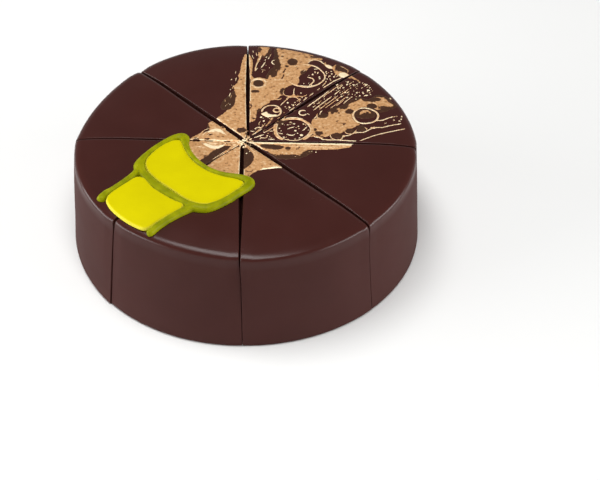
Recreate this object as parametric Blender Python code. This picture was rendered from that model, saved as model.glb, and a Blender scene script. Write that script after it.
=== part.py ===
"""Champagne torte: a round glazed cake cut into eight slices that keep the whole's shape,
with a flat cork figure of piped and flooded icing lying over three of the cuts.

Metres, +Z up. The origin is the middle of the base, and the cake stands on z = 0.
"""

import math

import bmesh
import bpy
from mathutils import Vector

MM = 0.001

# The cake, as a turned profile.
HEIGHT = 75.0 * MM              # to the flat of the top
BASE_RADIUS = 125.0 * MM
RIM_RADIUS = 118.4 * MM         # widest part of the rim, before each slice's own shift
RIM_ROUND = 4.8 * MM            # radius of the glaze as it turns over the edge
RIM_DROP = 1.0 * MM             # how far the top sinks towards the rim
TOP_FLAT_RADIUS = 92.0 * MM     # inside this the top is flat
FOOT_ROUND = 1.5 * MM           # the glaze tucks in where it meets the surface below

# The knife's cuts all start near here, a little off the cake's middle.
CUT_CENTRE = Vector((-0.9 * MM, 0.4 * MM))
SIDE_GAP = 0.6 * MM             # width of every cut down the side
ROLL = 1.3 * MM                 # radius of the glaze's edge along a cut

# Each cut: direction in degrees, sideways shift at the middle along X in mm, how far the
# rim's corners draw in beside it in mm (less than nothing where they stand out), and the
# cut's width in mm near the middle, half way out and at the rim.
CUTS = (
    (-0.5, 0.0, 0.6, 0.9, 2.2, 1.1),
    (47.4, 0.0, 0.6, 0.8, 2.4, 1.1),
    (92.0, 1.2, 1.4, 1.4, 1.9, 1.1),
    (134.2, 0.0, 1.0, 1.8, 2.8, 1.5),
    (178.1, 0.0, 1.0, 0.8, 1.7, 0.9),
    (223.6, 0.0, 0.8, 0.8, 1.1, 1.0),
    (270.3, -1.7, 0.8, 1.9, 2.9, 1.0),
    (314.7, 0.0, -2.4, 1.8, 2.8, 1.7),
)
WIDTH_RADII = (20.0 * MM, 65.0 * MM, 110.0 * MM)    # where those three widths apply

# Each slice's rim stands out from the circle by this many mm at its first cut, at its
# middle and at its second cut: the slices bulge and settle unevenly.
RIM_SHIFTS = (
    (0.3, -1.0, -0.1),
    (0.4, 0.3, 0.3),
    (1.0, 0.4, -1.1),
    (0.3, -1.3, 0.9),
    (1.7, 1.3, 0.8),
    (0.5, -1.9, -0.3),
    (1.0, 0.8, 0.1),
    (-0.2, 0.4, 0.5),
)
CORNER_REACH = 9.0 * MM         # how far from a cut the rim's corners draw in

TOP_RINGS = 9                   # rings of faces from the tip to the edge of the flat
EDGE_RINGS = 3                  # rings where the top sinks
ROUND_RINGS = 5                 # rings round the rim
SIDE_RINGS = 5                  # rings down the side
SLICE_COLUMNS = 10              # columns across a slice between its rolled edges
ROLL_STEPS = (0.0, 0.18, 0.5)   # columns in the rolled edge, as shares of ROLL

# The cork figure lies along this direction from the middle towards the rim. Its places
# are (along, across) in mm: along this line from the middle, and square to it.
FIGURE_DIRECTION = math.radians(225.0)
FIGURE_LIFT = 0.3 * MM          # clear of the glaze under it
BEAD_HEIGHT = 3.6 * MM          # piped outline
BEAD_SECTION = 8                # faces over a bead
PANEL_HEIGHT = 2.9 * MM         # flooded icing
PANEL_EDGE = 1.4 * MM           # its rounded edge
PANEL_GAP = 0.5 * MM            # between flooded icing and the piped outline

# The closed loop round the head: along, across and half the bead's width, in mm. It runs
# from the dip in its top down one side to the bar under it, and back up the other side.
HEAD_LOW_SIDE = (
    (40.9, 0.0, 2.5),
    (39.9, 9.0, 2.6),
    (36.9, 18.0, 2.7),
    (31.6, 26.5, 3.2),
    (29.6, 32.6, 4.3),
    (33.6, 36.6, 3.7),
    (41.0, 37.4, 3.0),
    (51.0, 37.4, 3.0),
    (60.0, 36.4, 3.3),
    (67.8, 33.6, 3.8),
    (73.4, 27.0, 3.5),
    (74.6, 17.5, 2.3),
    (75.2, 8.0, 2.6),
    (76.2, 0.0, 3.2),
)
HEAD_HIGH_SIDE = (
    (76.6, -8.0, 3.3),
    (75.9, -16.0, 3.2),
    (74.4, -24.2, 3.4),
    (71.0, -30.4, 4.6),
    (65.6, -33.8, 3.4),
    (59.0, -35.9, 2.9),
    (51.0, -37.2, 2.8),
    (41.0, -37.4, 2.9),
    (33.6, -36.4, 3.5),
    (29.6, -32.6, 4.4),
    (33.2, -26.8, 3.0),
    (37.6, -18.0, 2.6),
    (40.1, -9.0, 2.6),
)
HEAD_MIDDLE = 55.0              # along the figure: the loop's stations past it lie under the head
# The two sides of the cork's body, from the head's corners to the rim.
BODY_BARS = {
    "low_side": ((72.0, 28.4, 2.4), (79.0, 27.2, 3.0), (90.0, 25.8, 3.2), (101.0, 25.3, 3.1),
                 (109.6, 25.9, 2.8)),
    "high_side": ((71.6, -30.0, 2.6), (79.0, -26.0, 2.8), (90.0, -24.2, 2.8), (101.0, -24.1, 2.8),
                  (107.0, -24.2, 3.1), (111.4, -22.9, 2.9)),
}
LOOP_STATIONS = 72              # stations round the head's loop
BAR_STATIONS = 22               # stations along a bar of the body
# The body's flooded icing fills the space between the bars and the loop, and ends at the
# rim in this gentle curve of (along, across) points.
BODY_PANEL_END = ((111.6, 21.0), (113.2, 11.0), (113.6, 0.0), (112.8, -10.0), (110.6, -18.2))
BODY_PANEL_REACH = (76.0, 106.0)    # the stretch of the bars that it lies along
BODY_PANEL_HALF = 25.5          # how far across it follows the loop, each way
BODY_PANEL_RINGS = (0.3, 0.6)   # inner rings, as shares of the way to its middle

# Colours (linear), roughness.
GLAZE = ((0.060, 0.025, 0.021), 0.32)
GREEN_ICING = ((0.29, 0.31, 0.012), 0.45)
YELLOW_ICING = ((0.74, 0.65, 0.008), 0.40)


def clear_scene():
    for old in list(bpy.data.objects):
        bpy.data.objects.remove(old, do_unlink=True)


def material(name, colour, roughness):
    made = bpy.data.materials.new(name)
    made.use_nodes = True
    shader = made.node_tree.nodes["Principled BSDF"]
    shader.inputs["Base Color"].default_value = (*colour, 1.0)
    shader.inputs["Roughness"].default_value = roughness
    shader.inputs["Metallic"].default_value = 0.0
    return made


def finish(name, bm, finish_material):
    """Close off a bmesh as a named object with outward faces and one material."""
    bmesh.ops.recalc_face_normals(bm, faces=bm.faces)
    bmesh.ops.triangulate(bm, faces=bm.faces)
    mesh = bpy.data.meshes.new(name)
    bm.to_mesh(mesh)
    bm.free()
    mesh.materials.append(finish_material)
    mesh.shade_smooth()
    mesh.set_sharp_from_angle(angle=math.radians(50))
    made = bpy.data.objects.new(name, mesh)
    bpy.context.scene.collection.objects.link(made)
    return made


def blend(values, share):
    """Smooth curve through three evenly spaced values, share running from 0 to 1."""
    first, middle, last = values
    return (first * (1 - share) * (1 - 2 * share)
            + middle * 4 * share * (1 - share)
            + last * share * (2 * share - 1))


def smooth_step(share):
    share = min(max(share, 0.0), 1.0)
    return share * share * (3 - 2 * share)


def between(places, values, at):
    """Straight interpolation, held level beyond both ends."""
    if at <= places[0]:
        return values[0]
    for low, high, start, end in zip(places, places[1:], values, values[1:]):
        if at <= high:
            return start + (end - start) * (at - low) / (high - low)
    return values[-1]


def rim_curve():
    """Centre height and radius of the rim's round, and the side's lean, for the profile."""
    centre_height = HEIGHT - RIM_DROP - RIM_ROUND
    lean = math.atan2(BASE_RADIUS - RIM_RADIUS, centre_height)
    return centre_height, RIM_RADIUS - RIM_ROUND, lean


def top_height(radius):
    """Height of the glaze on the flat and where it sinks towards the rim."""
    edge = rim_curve()[1]
    return HEIGHT - RIM_DROP * smooth_step((radius - TOP_FLAT_RADIUS) / (edge - TOP_FLAT_RADIUS))


def cake_profile(tip):
    """(radius, height, outward normal) from the tip over the top and down to the base."""
    centre_height, centre_radius, lean = rim_curve()
    rows = []
    for step in range(TOP_RINGS):
        radius = tip + (TOP_FLAT_RADIUS - tip) * (step / TOP_RINGS) ** 1.25
        rows.append((radius, HEIGHT, Vector((0.0, 1.0))))
    for step in range(EDGE_RINGS):
        radius = TOP_FLAT_RADIUS + (centre_radius - TOP_FLAT_RADIUS) * step / EDGE_RINGS
        rows.append((radius, top_height(radius), Vector((0.0, 1.0))))
    for step in range(ROUND_RINGS + 1):
        turn = math.pi / 2 + (lean - math.pi / 2) * step / ROUND_RINGS
        normal = Vector((math.cos(turn), math.sin(turn)))
        rows.append((centre_radius + RIM_ROUND * normal.x, centre_height + RIM_ROUND * normal.y,
                     normal))
    last_radius, last_height, normal = rows[-1]
    for step in range(1, SIDE_RINGS + 1):
        share = step / SIDE_RINGS
        height = last_height + (FOOT_ROUND - last_height) * share
        rows.append((last_radius + (BASE_RADIUS - last_radius) * share, height, normal))
    rows.append((BASE_RADIUS - 0.4 * FOOT_ROUND, 0.3 * FOOT_ROUND, normal))
    rows.append((BASE_RADIUS - FOOT_ROUND, 0.0, normal))
    return rows


def half_gap(cut, radius, height):
    """Half the width of a cut, which closes to the same thin line down the side."""
    on_top = between(WIDTH_RADII, [width * MM for width in cut[3:]], radius)
    down = smooth_step((top_height(0) - height) / (3 * RIM_ROUND))
    return 0.5 * (on_top + (SIDE_GAP - on_top) * down)


def slice_columns():
    """How far across a slice each column lies: (share of the width, mm from an edge, side)."""
    near = [(share * 0.12, share * ROLL, 0) for share in ROLL_STEPS]
    middle = [(step / SLICE_COLUMNS, None, 0) for step in range(SLICE_COLUMNS + 1)]
    middle[0] = (0.12, ROLL, 0)
    middle[-1] = (0.12, ROLL, 1)
    far = [(share, reach, 1) for share, reach, side in reversed(near)]
    return near + middle + far


def slice_point(index, column, row):
    """Place of one vertex of a slice's glaze: a column across it and a row of the profile."""
    first, second = CUTS[index], CUTS[(index + 1) % len(CUTS)]
    start = math.radians(first[0])
    end = math.radians(second[0] + (360.0 if index == len(CUTS) - 1 else 0.0))
    radius, height, normal = row
    share, reach, side = column
    width = radius * (end - start) - half_gap(first, radius, height) - half_gap(second, radius, height)
    if reach is None:
        from_edge = min(share, 1 - share) * width
        across = share
    else:
        from_edge = min(share * width, reach)
        across = from_edge / width
        across = 1 - across if side else across
    roll = min(ROLL, 0.3 * width)
    depth = 0.0
    if from_edge < roll:
        depth = roll - math.sqrt(roll ** 2 - (roll - from_edge) ** 2)
    angle = start + (end - start) * across
    outwards = Vector((math.cos(angle), math.sin(angle)))
    sideways = Vector((-outwards.y, outwards.x))
    at_rim = smooth_step((radius - TOP_FLAT_RADIUS) / (RIM_RADIUS - TOP_FLAT_RADIUS))
    at_rim *= smooth_step(height / (HEIGHT - 3 * RIM_ROUND))
    pull = (second if across > 0.5 else first)[2] * MM * (1 - smooth_step(from_edge / CORNER_REACH))
    shift = (blend(RIM_SHIFTS[index], across) * MM - pull) * at_rim
    off_middle = (first[1] * (1 - across) + second[1] * across) * MM
    origin = (CUT_CENTRE + Vector((off_middle, 0.0))) * max(0.0, 1 - radius / RIM_RADIUS)
    gap = half_gap(first, radius, height) * (1 - across) - half_gap(second, radius, height) * across
    place = origin + outwards * (radius + shift - depth * normal.x) + sideways * gap
    return Vector((place.x, place.y, max(height - depth * normal.y, 0.0)))


def cut_slice(index, glaze):
    """One slice: glazed top, rim and side, two cut faces, a short tip and a flat base."""
    bm = bmesh.new()
    angle = math.radians((CUTS[(index + 1) % len(CUTS)][0] - CUTS[index][0]) % 360.0)
    tip = 2 * ROLL / angle
    rows = cake_profile(tip)
    columns = slice_columns()
    grid = [[bm.verts.new(slice_point(index, column, row)) for column in columns] for row in rows]
    for upper, lower in zip(grid, grid[1:]):
        for left in range(len(columns) - 1):
            bm.faces.new((upper[left], lower[left], lower[left + 1], upper[left + 1]))
    flat_rows = TOP_RINGS + EDGE_RINGS + 1
    floor_edges = []
    for side in (0, -1):
        floor = [bm.verts.new((*row[side].co.xy, 0.0)) for row in grid[:flat_rows]]
        for upper, lower, step in zip(floor, floor[1:], range(flat_rows)):
            bm.faces.new((grid[step][side], grid[step + 1][side], lower, upper))
        rest = [grid[step][side] for step in range(flat_rows - 1, len(grid))]
        for upper, lower in zip(rest, rest[1:]):
            bm.faces.new((upper, lower, floor[-1]))
        floor_edges.append(floor)
    near_floor, far_floor = floor_edges
    bm.faces.new([near_floor[0], *grid[0], far_floor[0]])
    bm.faces.new([*near_floor, *grid[-1], *reversed(far_floor)])
    return finish(f"slice_{index + 1}", bm, glaze)


def smooth_path(points, stations, closed):
    """Evenly numbered stations on a smooth curve through the points (Catmull-Rom)."""
    count = len(points)
    spans = count if closed else count - 1
    path = []
    for station in range(stations):
        at = station * spans / (stations if closed else stations - 1)
        span = min(int(at), spans - 1)
        part = at - span
        if closed:
            four = [points[(span + step) % count] for step in (-1, 0, 1, 2)]
        else:
            four = [points[min(max(span + step, 0), count - 1)] for step in (-1, 0, 1, 2)]
        before, start, end, after = (Vector(point) for point in four)
        path.append(0.5 * (2 * start + (end - before) * part
                           + (2 * before - 5 * start + 4 * end - after) * part ** 2
                           + (3 * start - before - 3 * end + after) * part ** 3))
    return path


def side_directions(path, closed):
    """Unit vector square to the path at each of its stations, to its right."""
    count = len(path)
    result = []
    for step in range(count):
        if closed:
            ahead, behind = path[(step + 1) % count], path[step - 1]
        else:
            ahead, behind = path[min(step + 1, count - 1)], path[max(step - 1, 0)]
        run = (ahead.xy - behind.xy).normalized()
        result.append(Vector((run.y, -run.x)))
    return result


def figure_place(along, across, up):
    """Figure coordinates in mm, and height above the glaze in metres, as a place."""
    outwards = Vector((math.cos(FIGURE_DIRECTION), math.sin(FIGURE_DIRECTION)))
    sideways = Vector((-outwards.y, outwards.x))
    place = (outwards * along + sideways * across) * MM
    return Vector((*place, top_height(place.length) + FIGURE_LIFT + up))


def bead(bm, stations, closed):
    """Piped bead: half an ellipse on a flat base, swept along (along, across, half width)."""
    sides = side_directions(stations, closed)
    rings = []
    for station, side in zip(stations, sides):
        ring = []
        for step in range(BEAD_SECTION + 1):
            turn = math.pi * step / BEAD_SECTION
            across = station.xy + side * station.z * math.cos(turn)
            ring.append(bm.verts.new(figure_place(*across, BEAD_HEIGHT * math.sin(turn))))
        rings.append(ring)
    pairs = list(zip(rings, rings[1:]))
    if closed:
        pairs.append((rings[-1], rings[0]))
    for here, there in pairs:
        for step in range(-1, BEAD_SECTION):
            bm.faces.new((here[step], there[step], there[step + 1], here[step + 1]))
    if not closed:
        bm.faces.new(rings[0])
        bm.faces.new(rings[-1])


def rounded_ends(points):
    """Add short, narrowing stations so that a bar ends round and not square."""
    start, end = Vector(points[0]), Vector(points[-1])
    run = (end.xy - Vector(points[-2]).xy).normalized()
    tail = []
    for turn in (40.0, 72.0):
        reach = end.z * math.sin(math.radians(turn))
        tail.append((*(end.xy + run * reach), end.z * math.cos(math.radians(turn))))
    return [tuple(start), *points[1:], *tail]


def piped_outline(icing):
    """Green piped outline: the head's loop and the body's two bars, fused into one."""
    loop = smooth_path([*HEAD_LOW_SIDE, *HEAD_HIGH_SIDE], LOOP_STATIONS, closed=True)
    bm = bmesh.new()
    bead(bm, loop, closed=True)
    outline = finish("cork_outline", bm, icing)
    bars = bpy.data.collections.new("bars")
    for name, points in BODY_BARS.items():
        bar_mesh = bmesh.new()
        bead(bar_mesh, smooth_path(rounded_ends(points), BAR_STATIONS, closed=False), closed=False)
        bar = finish(name, bar_mesh, icing)
        bpy.context.scene.collection.objects.unlink(bar)
        bars.objects.link(bar)
    union = outline.modifiers.new("fuse", "BOOLEAN")
    union.operation = "UNION"
    union.use_self = True
    union.operand_type = "COLLECTION"
    union.collection = bars
    fused = bpy.data.meshes.new_from_object(outline.evaluated_get(bpy.context.evaluated_depsgraph_get()))
    outline.modifiers.clear()
    outline.data = fused
    for bar in list(bars.objects):
        bpy.data.objects.remove(bar, do_unlink=True)
    bpy.data.collections.remove(bars)
    return outline, loop


def flooded_panel(name, edge, icing, inner_shares=()):
    """Flooded icing inside a closed edge of (along, across) points: flat with a round edge.

    inner_shares add rings towards the middle, above and below, where the glaze bends down.
    """
    bm = bmesh.new()
    middle = sum((point.xy for point in edge), Vector((0.0, 0.0))) / len(edge)
    sides = side_directions(edge, closed=True)
    if (edge[0].xy + sides[0] - middle).length < (edge[0].xy - middle).length:
        sides = [-side for side in sides]
    steps = [(0.0, 0.0, share) for share in reversed(inner_shares)]
    steps += [(0.0, 0.0, 0.0), (0.0, 0.45, 0.0), (0.3, 0.8, 0.0), (1.0, 1.0, 0.0)]
    steps += [(1.0, 1.0, share) for share in inner_shares]
    rings = []
    for inset, up, inner in steps:
        ring = []
        for point, side in zip(edge, sides):
            place = point.xy - side * inset * PANEL_EDGE / MM
            place = place.lerp(middle, inner)
            ring.append(bm.verts.new(figure_place(*place, up * PANEL_HEIGHT)))
        rings.append(ring)
    count = len(edge)
    for lower, upper in zip(rings, rings[1:]):
        for step in range(count):
            ahead = (step + 1) % count
            bm.faces.new((lower[step], lower[ahead], upper[ahead], upper[step]))
    bm.faces.new(rings[0])
    bm.faces.new(rings[-1])
    return finish(name, bm, icing)


def clearance(place, beads):
    """Least distance in mm from a place to the side of any bead."""
    least = math.inf
    for stations, closed in beads:
        pairs = list(zip(stations, stations[1:]))
        if closed:
            pairs.append((stations[-1], stations[0]))
        for start, end in pairs:
            run = end.xy - start.xy
            share = min(max((place - start.xy).dot(run) / run.length_squared, 0.0), 1.0)
            half = start.z + (end.z - start.z) * share
            least = min(least, (place - start.xy.lerp(end.xy, share)).length - half)
    return least


def inner_edge(stations, closed, middle):
    """The line that keeps a panel's gap to a bead, on the side towards a point."""
    lines = []
    for way in (1, -1):
        lines.append([station.xy + side * way * (station.z + PANEL_GAP / MM)
                      for station, side in zip(stations, side_directions(stations, closed))])
    return min(lines, key=lambda line: sum((point - middle).length for point in line))


def clear_points(points, beads):
    """The points of a line that keep their gap to every bead: it turns where two lines meet."""
    return [point for point in points if clearance(point, beads) > PANEL_GAP / MM - 0.06]


def head_panel_edge(loop):
    """The head's flooded icing fills the loop."""
    middle = sum((station.xy for station in loop), Vector((0.0, 0.0))) / len(loop)
    return clear_points(inner_edge(loop, True, middle), [(loop, True)])


def body_panel_edge(loop):
    """The body's flooded icing: along the loop, along one bar, across the rim, and back."""
    bars = {name: smooth_path(points, BAR_STATIONS, closed=False)
            for name, points in BODY_BARS.items()}
    beads = [(loop, True)] + [(bar, False) for bar in bars.values()]
    start, end = BODY_PANEL_REACH
    middle = Vector((end, 0.0))
    low_bar, high_bar = (
        [point for point in inner_edge(bar, False, middle) if start < point.x < end]
        for bar in bars.values())
    under_head = sorted((at for at in loop if at.x > HEAD_MIDDLE), key=lambda at: at.y)
    top = [point for point in inner_edge(under_head, False, middle)
           if point.x > start and abs(point.y) < BODY_PANEL_HALF]
    outline = top + low_bar + [Vector(point) for point in BODY_PANEL_END] + high_bar[::-1]
    return clear_points(outline, beads)


def build():
    clear_scene()
    glaze = material("glaze", *GLAZE)
    green = material("green_icing", *GREEN_ICING)
    yellow = material("yellow_icing", *YELLOW_ICING)
    for index in range(len(CUTS)):
        cut_slice(index, glaze)
    outline, loop = piped_outline(green)
    flooded_panel("cork_head_icing", head_panel_edge(loop), yellow)
    flooded_panel("cork_body_icing", body_panel_edge(loop), yellow, BODY_PANEL_RINGS)


build()
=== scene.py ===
"""Champagne torte: eight slices under poured glaze, a gold print and a cork of icing."""

import math
import random
from collections import namedtuple

import bmesh
import bpy
import numpy as np
from mathutils import Matrix, Vector
from mathutils.bvhtree import BVHTree
from mathutils.noise import noise as noise_at


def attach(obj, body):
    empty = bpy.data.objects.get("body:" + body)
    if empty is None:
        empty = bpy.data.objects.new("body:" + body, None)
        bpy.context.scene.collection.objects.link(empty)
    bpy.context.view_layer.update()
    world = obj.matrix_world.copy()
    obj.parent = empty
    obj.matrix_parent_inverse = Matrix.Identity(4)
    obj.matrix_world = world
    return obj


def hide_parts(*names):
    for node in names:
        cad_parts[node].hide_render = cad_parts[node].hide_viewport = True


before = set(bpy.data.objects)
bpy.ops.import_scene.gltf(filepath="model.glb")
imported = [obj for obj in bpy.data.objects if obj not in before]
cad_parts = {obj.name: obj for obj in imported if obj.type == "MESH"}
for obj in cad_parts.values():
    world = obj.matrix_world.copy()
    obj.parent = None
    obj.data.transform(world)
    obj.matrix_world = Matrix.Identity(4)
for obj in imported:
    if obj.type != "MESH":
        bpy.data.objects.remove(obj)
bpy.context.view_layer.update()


# ---- Slices ---------------------------------------------------------------------------
# Eight wedges of torte, cut through with a thin knife and left standing together. The
# chocolate glaze, poured over the whole before, leans out to a small round at the rim. The
# knife rolled it over along every cut, and pressed down a broader lip beside some of them.

MM = 0.001
HEIGHT = 75.0                   # these are in mm, as are all places below
BASE_RADIUS = 125.0
RIM_RADIUS = 118.4
TOP_FLAT_RADIUS = 82.0          # from here the glaze leans outwards, slowly and then more,
SHOULDER_LEAN = math.radians(28.0)      # up to this much, and then turns down
SHOULDER_SLOW = 0.88                    # share of the way that it leans slowly
SLOW_LEAN = 0.21                        # share of the lean that it has by then
LATE_LEAN_POWER = 1.3
CORNER_ROUND = 3.4
CORNER_START = RIM_RADIUS - CORNER_ROUND * (1 - math.sin(SHOULDER_LEAN))
FOOT_ROUND = 1.5
FOOT_STEPS = ((0.15, 0.6), (0.45, 0.25), (1.0, 0.0))    # inwards and up, in shares of it
CUT_CENTRE = np.array((-0.9, 0.4))
SIDE_GAP = 0.34
GAP_CLOSES = 14.4               # the cuts narrow to that over this height
TIP_GAP_SHARE = 0.25            # and to this share of their width at the tips
TIP_GAP_REACH = 7.0
SHIFT_REACH = 9.0               # a cut's sideways shift fades out this near to its tip
SHIFT_GONE, SHIFT_WHOLE = 50.0, 68.0    # and between these heights
CORNER_REACH = 9.0              # the rim's corners draw in over this distance from a cut
TIP_RADIUS = 1.3
EDGE_ROUND = 0.45
EDGE_ROUND_SHARE = 0.3          # or this share of a slice's width, where it is narrow
LIP_SLOPE = 0.40
LIP_POWER = 1.4

# Each cut: direction in degrees, sideways shift at the middle and at the rim, how far the
# rim's corners draw in beside it, its widths, and how broad a lip the knife pressed down
# along it on the slice before it and on the one after it.
Cut = namedtuple("Cut", "direction middle_shift rim_shift draws_in widths lip_before lip_after")
CUTS = (
    Cut(-0.5, 1.0, 0.6, 0.6, (0.7, 0.9, 0.9, 1.0), 1.5, 0.3),
    Cut(47.4, 0.3, 0.5, 0.6, (0.5, 1.2, 2.8, 1.3), 1.2, 0.3),
    Cut(92.0, -2.1, -0.9, 0.6, (1.7, 2.5, 2.9, 1.0), 0.4, 0.4),
    Cut(134.2, -0.8, -0.8, 1.0, (2.9, 3.2, 2.9, 1.5), 0.3, 2.4),
    Cut(178.1, 0.2, 0.3, -0.2, (0.3, 0.6, 1.1, 0.5), 0.3, 1.6),
    Cut(223.6, 0.3, 0.3, 0.8, (0.25, 0.5, 1.0, 1.9), 0.3, 1.2),
    Cut(270.3, -1.9, -0.7, 0.8, (2.5, 2.9, 3.0, 1.0), 0.5, 0.5),
    Cut(314.7, 1.3, 1.5, -0.8, (2.9, 2.4, 2.0, 1.0), 3.2, 0.3),
)
WIDTH_RADII = (12.0, 40.0, 65.0, 110.0)         # where those widths are
# How far each slice's rim stands out at its first cut, at its middle and at its second.
RIM_SHIFTS = (
    (1.0, 0.5, 1.8),
    (2.4, 1.3, 1.5),
    (1.1, 1.8, -0.3),
    (1.1, -1.1, 1.3),
    (1.3, 1.3, 0.8),
    (0.5, -1.9, -0.3),
    (1.0, 0.8, 0.1),
    (-0.2, 0.4, 0.5),
)
# The same at the base, which settled a little towards the front; it fades out up the side.
BASE_SHIFTS = (
    (-2.8, -1.6, -0.8),
    (-0.8, -0.6, -0.6),
    (-0.6, -0.6, -0.8),
    (-0.8, -0.8, -1.0),
    (-1.0, -0.4, 1.6),
    (0.6, 1.4, 1.1),
    (1.0, 1.1, 0.6),
    (0.4, -1.0, -2.8),
)
BASE_SHIFT_REACH = 70.0
TOP_ROWS = 42
SHOULDER_ROWS = 30
CORNER_ROWS = 12
SIDE_ROWS = 30
TOP_ROW_POWER = 1.3             # rows stand closer towards the tip
SHOULDER_ROW_POWER = 1.7        # and towards the rim
SLICE_COLUMNS = 56
EDGE_COLUMNS = 3                # this many at each edge give way to finer ones:
ROUND_COLUMNS = 4
LIP_COLUMNS = 5
FINE_SHARE = 0.026              # and no step over the edge takes more of the width
SHARP_ANGLE = math.radians(40)
CUT_SLOT = 1                    # a slice's second material
WALL_DEPTHS = (0.8, 1.8, 3.0, 4.2, 5.5, 7.0, 10.0, 16.0, 28.0, 42.0, 58.0, 75.0)
DEEP_GAP = 0.14                 # a cut is this wide inside,
CUT_CLOSES = 6.0                # from this depth on

GLAZE_BROWN = (0.0500, 0.0136, 0.0110)
GLAZE_DARK = (0.0440, 0.0116, 0.0092)
# painted shade: the cut faces are coloured deep brown for the narrow slits that little light
# reaches
CUT_SHADE_BROWN = (0.045, 0.0095, 0.0055)
TOP_ROUGHNESS = 0.25
SIDE_ROUGHNESS = 0.80
SHEEN_DEPTHS = (12.0, 4.0)      # from dull to glossy between these depths under the top


def smooth_step(share):
    """From 0 to 1 with a soft start and a soft end."""
    share = np.clip(share, 0.0, 1.0)
    return share * share * (3 - 2 * share)


def shoulder_lean(share):
    """How far the glaze leans out at a share of the way from the flat top to the corner."""
    late = np.maximum(share - SHOULDER_SLOW, 0.0) / (1 - SHOULDER_SLOW)
    return SHOULDER_LEAN * (SLOW_LEAN * smooth_step(share / SHOULDER_SLOW)
                            + (1 - SLOW_LEAN) * late ** LATE_LEAN_POWER)


def top_height(radius):
    """Height of the glaze over the top and the rim's small round, out to its widest."""
    fine = np.linspace(TOP_FLAT_RADIUS, CORNER_START, 400)
    slope = np.tan(shoulder_lean((fine - fine[0]) / (fine[-1] - fine[0])))
    drop = np.concatenate(((0.0,), np.cumsum(0.5 * (slope[1:] + slope[:-1]) * np.diff(fine))))
    turned = (radius - RIM_RADIUS + CORNER_ROUND) / CORNER_ROUND
    turned = np.clip(turned, math.sin(SHOULDER_LEAN), 1.0)
    return (HEIGHT - np.interp(radius, fine, drop)
            - CORNER_ROUND * (math.cos(SHOULDER_LEAN) - np.sqrt(1 - turned ** 2)))


def glaze_profile():
    """Rows of (radius, height, normal out, normal up) from the tip over the rim to the base."""
    rows = []
    for share in (np.arange(TOP_ROWS) / TOP_ROWS) ** TOP_ROW_POWER:
        rows.append((TIP_RADIUS + (TOP_FLAT_RADIUS - TIP_RADIUS) * share, HEIGHT, 0.0, 1.0))
    for share in 1 - (1 - np.arange(SHOULDER_ROWS) / SHOULDER_ROWS) ** SHOULDER_ROW_POWER:
        radius = TOP_FLAT_RADIUS + (CORNER_START - TOP_FLAT_RADIUS) * share
        turn = float(shoulder_lean(share))
        rows.append((radius, float(top_height(radius)), math.sin(turn), math.cos(turn)))
    centre_height = float(top_height(CORNER_START)) - CORNER_ROUND * math.cos(SHOULDER_LEAN)
    side_lean = math.atan2(BASE_RADIUS - RIM_RADIUS, centre_height)
    for turn in np.linspace(SHOULDER_LEAN, math.pi / 2 - side_lean, CORNER_ROWS + 1):
        out, up = math.sin(turn), math.cos(turn)
        radius = RIM_RADIUS - CORNER_ROUND * (1 - out)
        rows.append((radius, centre_height + CORNER_ROUND * up, out, up))
    last_radius, last_height, out, up = rows[-1]
    for share in np.arange(1, SIDE_ROWS + 1) / SIDE_ROWS:
        rows.append((last_radius + (BASE_RADIUS - last_radius) * share,
                     last_height + (FOOT_ROUND - last_height) * share, out, up))
    for inwards, above in FOOT_STEPS:
        rows.append((BASE_RADIUS - inwards * FOOT_ROUND, above * FOOT_ROUND, out, up))
    return np.array(rows)


def half_gap(cut, radius, height):
    """Half the width of a cut, which is wide on top and thin lower down."""
    by_tip = TIP_GAP_SHARE + (1 - TIP_GAP_SHARE) * smooth_step(radius / TIP_GAP_REACH)
    on_top = np.interp(radius, WIDTH_RADII, cut.widths) * by_tip
    down = smooth_step((HEIGHT - height) / GAP_CLOSES)
    return 0.5 * (on_top + (SIDE_GAP - on_top) * down)


def cut_shift(cut, radius, height):
    """How far a cut runs beside its direction: on the top alone, and not at the very tip."""
    shift = (cut.middle_shift
             + (cut.rim_shift - cut.middle_shift) * np.minimum(radius / RIM_RADIUS, 1.0))
    return (shift * smooth_step(radius / SHIFT_REACH)
            * smooth_step((height - SHIFT_GONE) / (SHIFT_WHOLE - SHIFT_GONE)))


def over_slice(shifts, across):
    """A shift at a share of a slice's width, from those at its two cuts and its middle."""
    low, middle, high = shifts
    return (low * (1 - across) * (1 - 2 * across) + middle * 4 * across * (1 - across)
            + high * across * (2 * across - 1))


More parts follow.
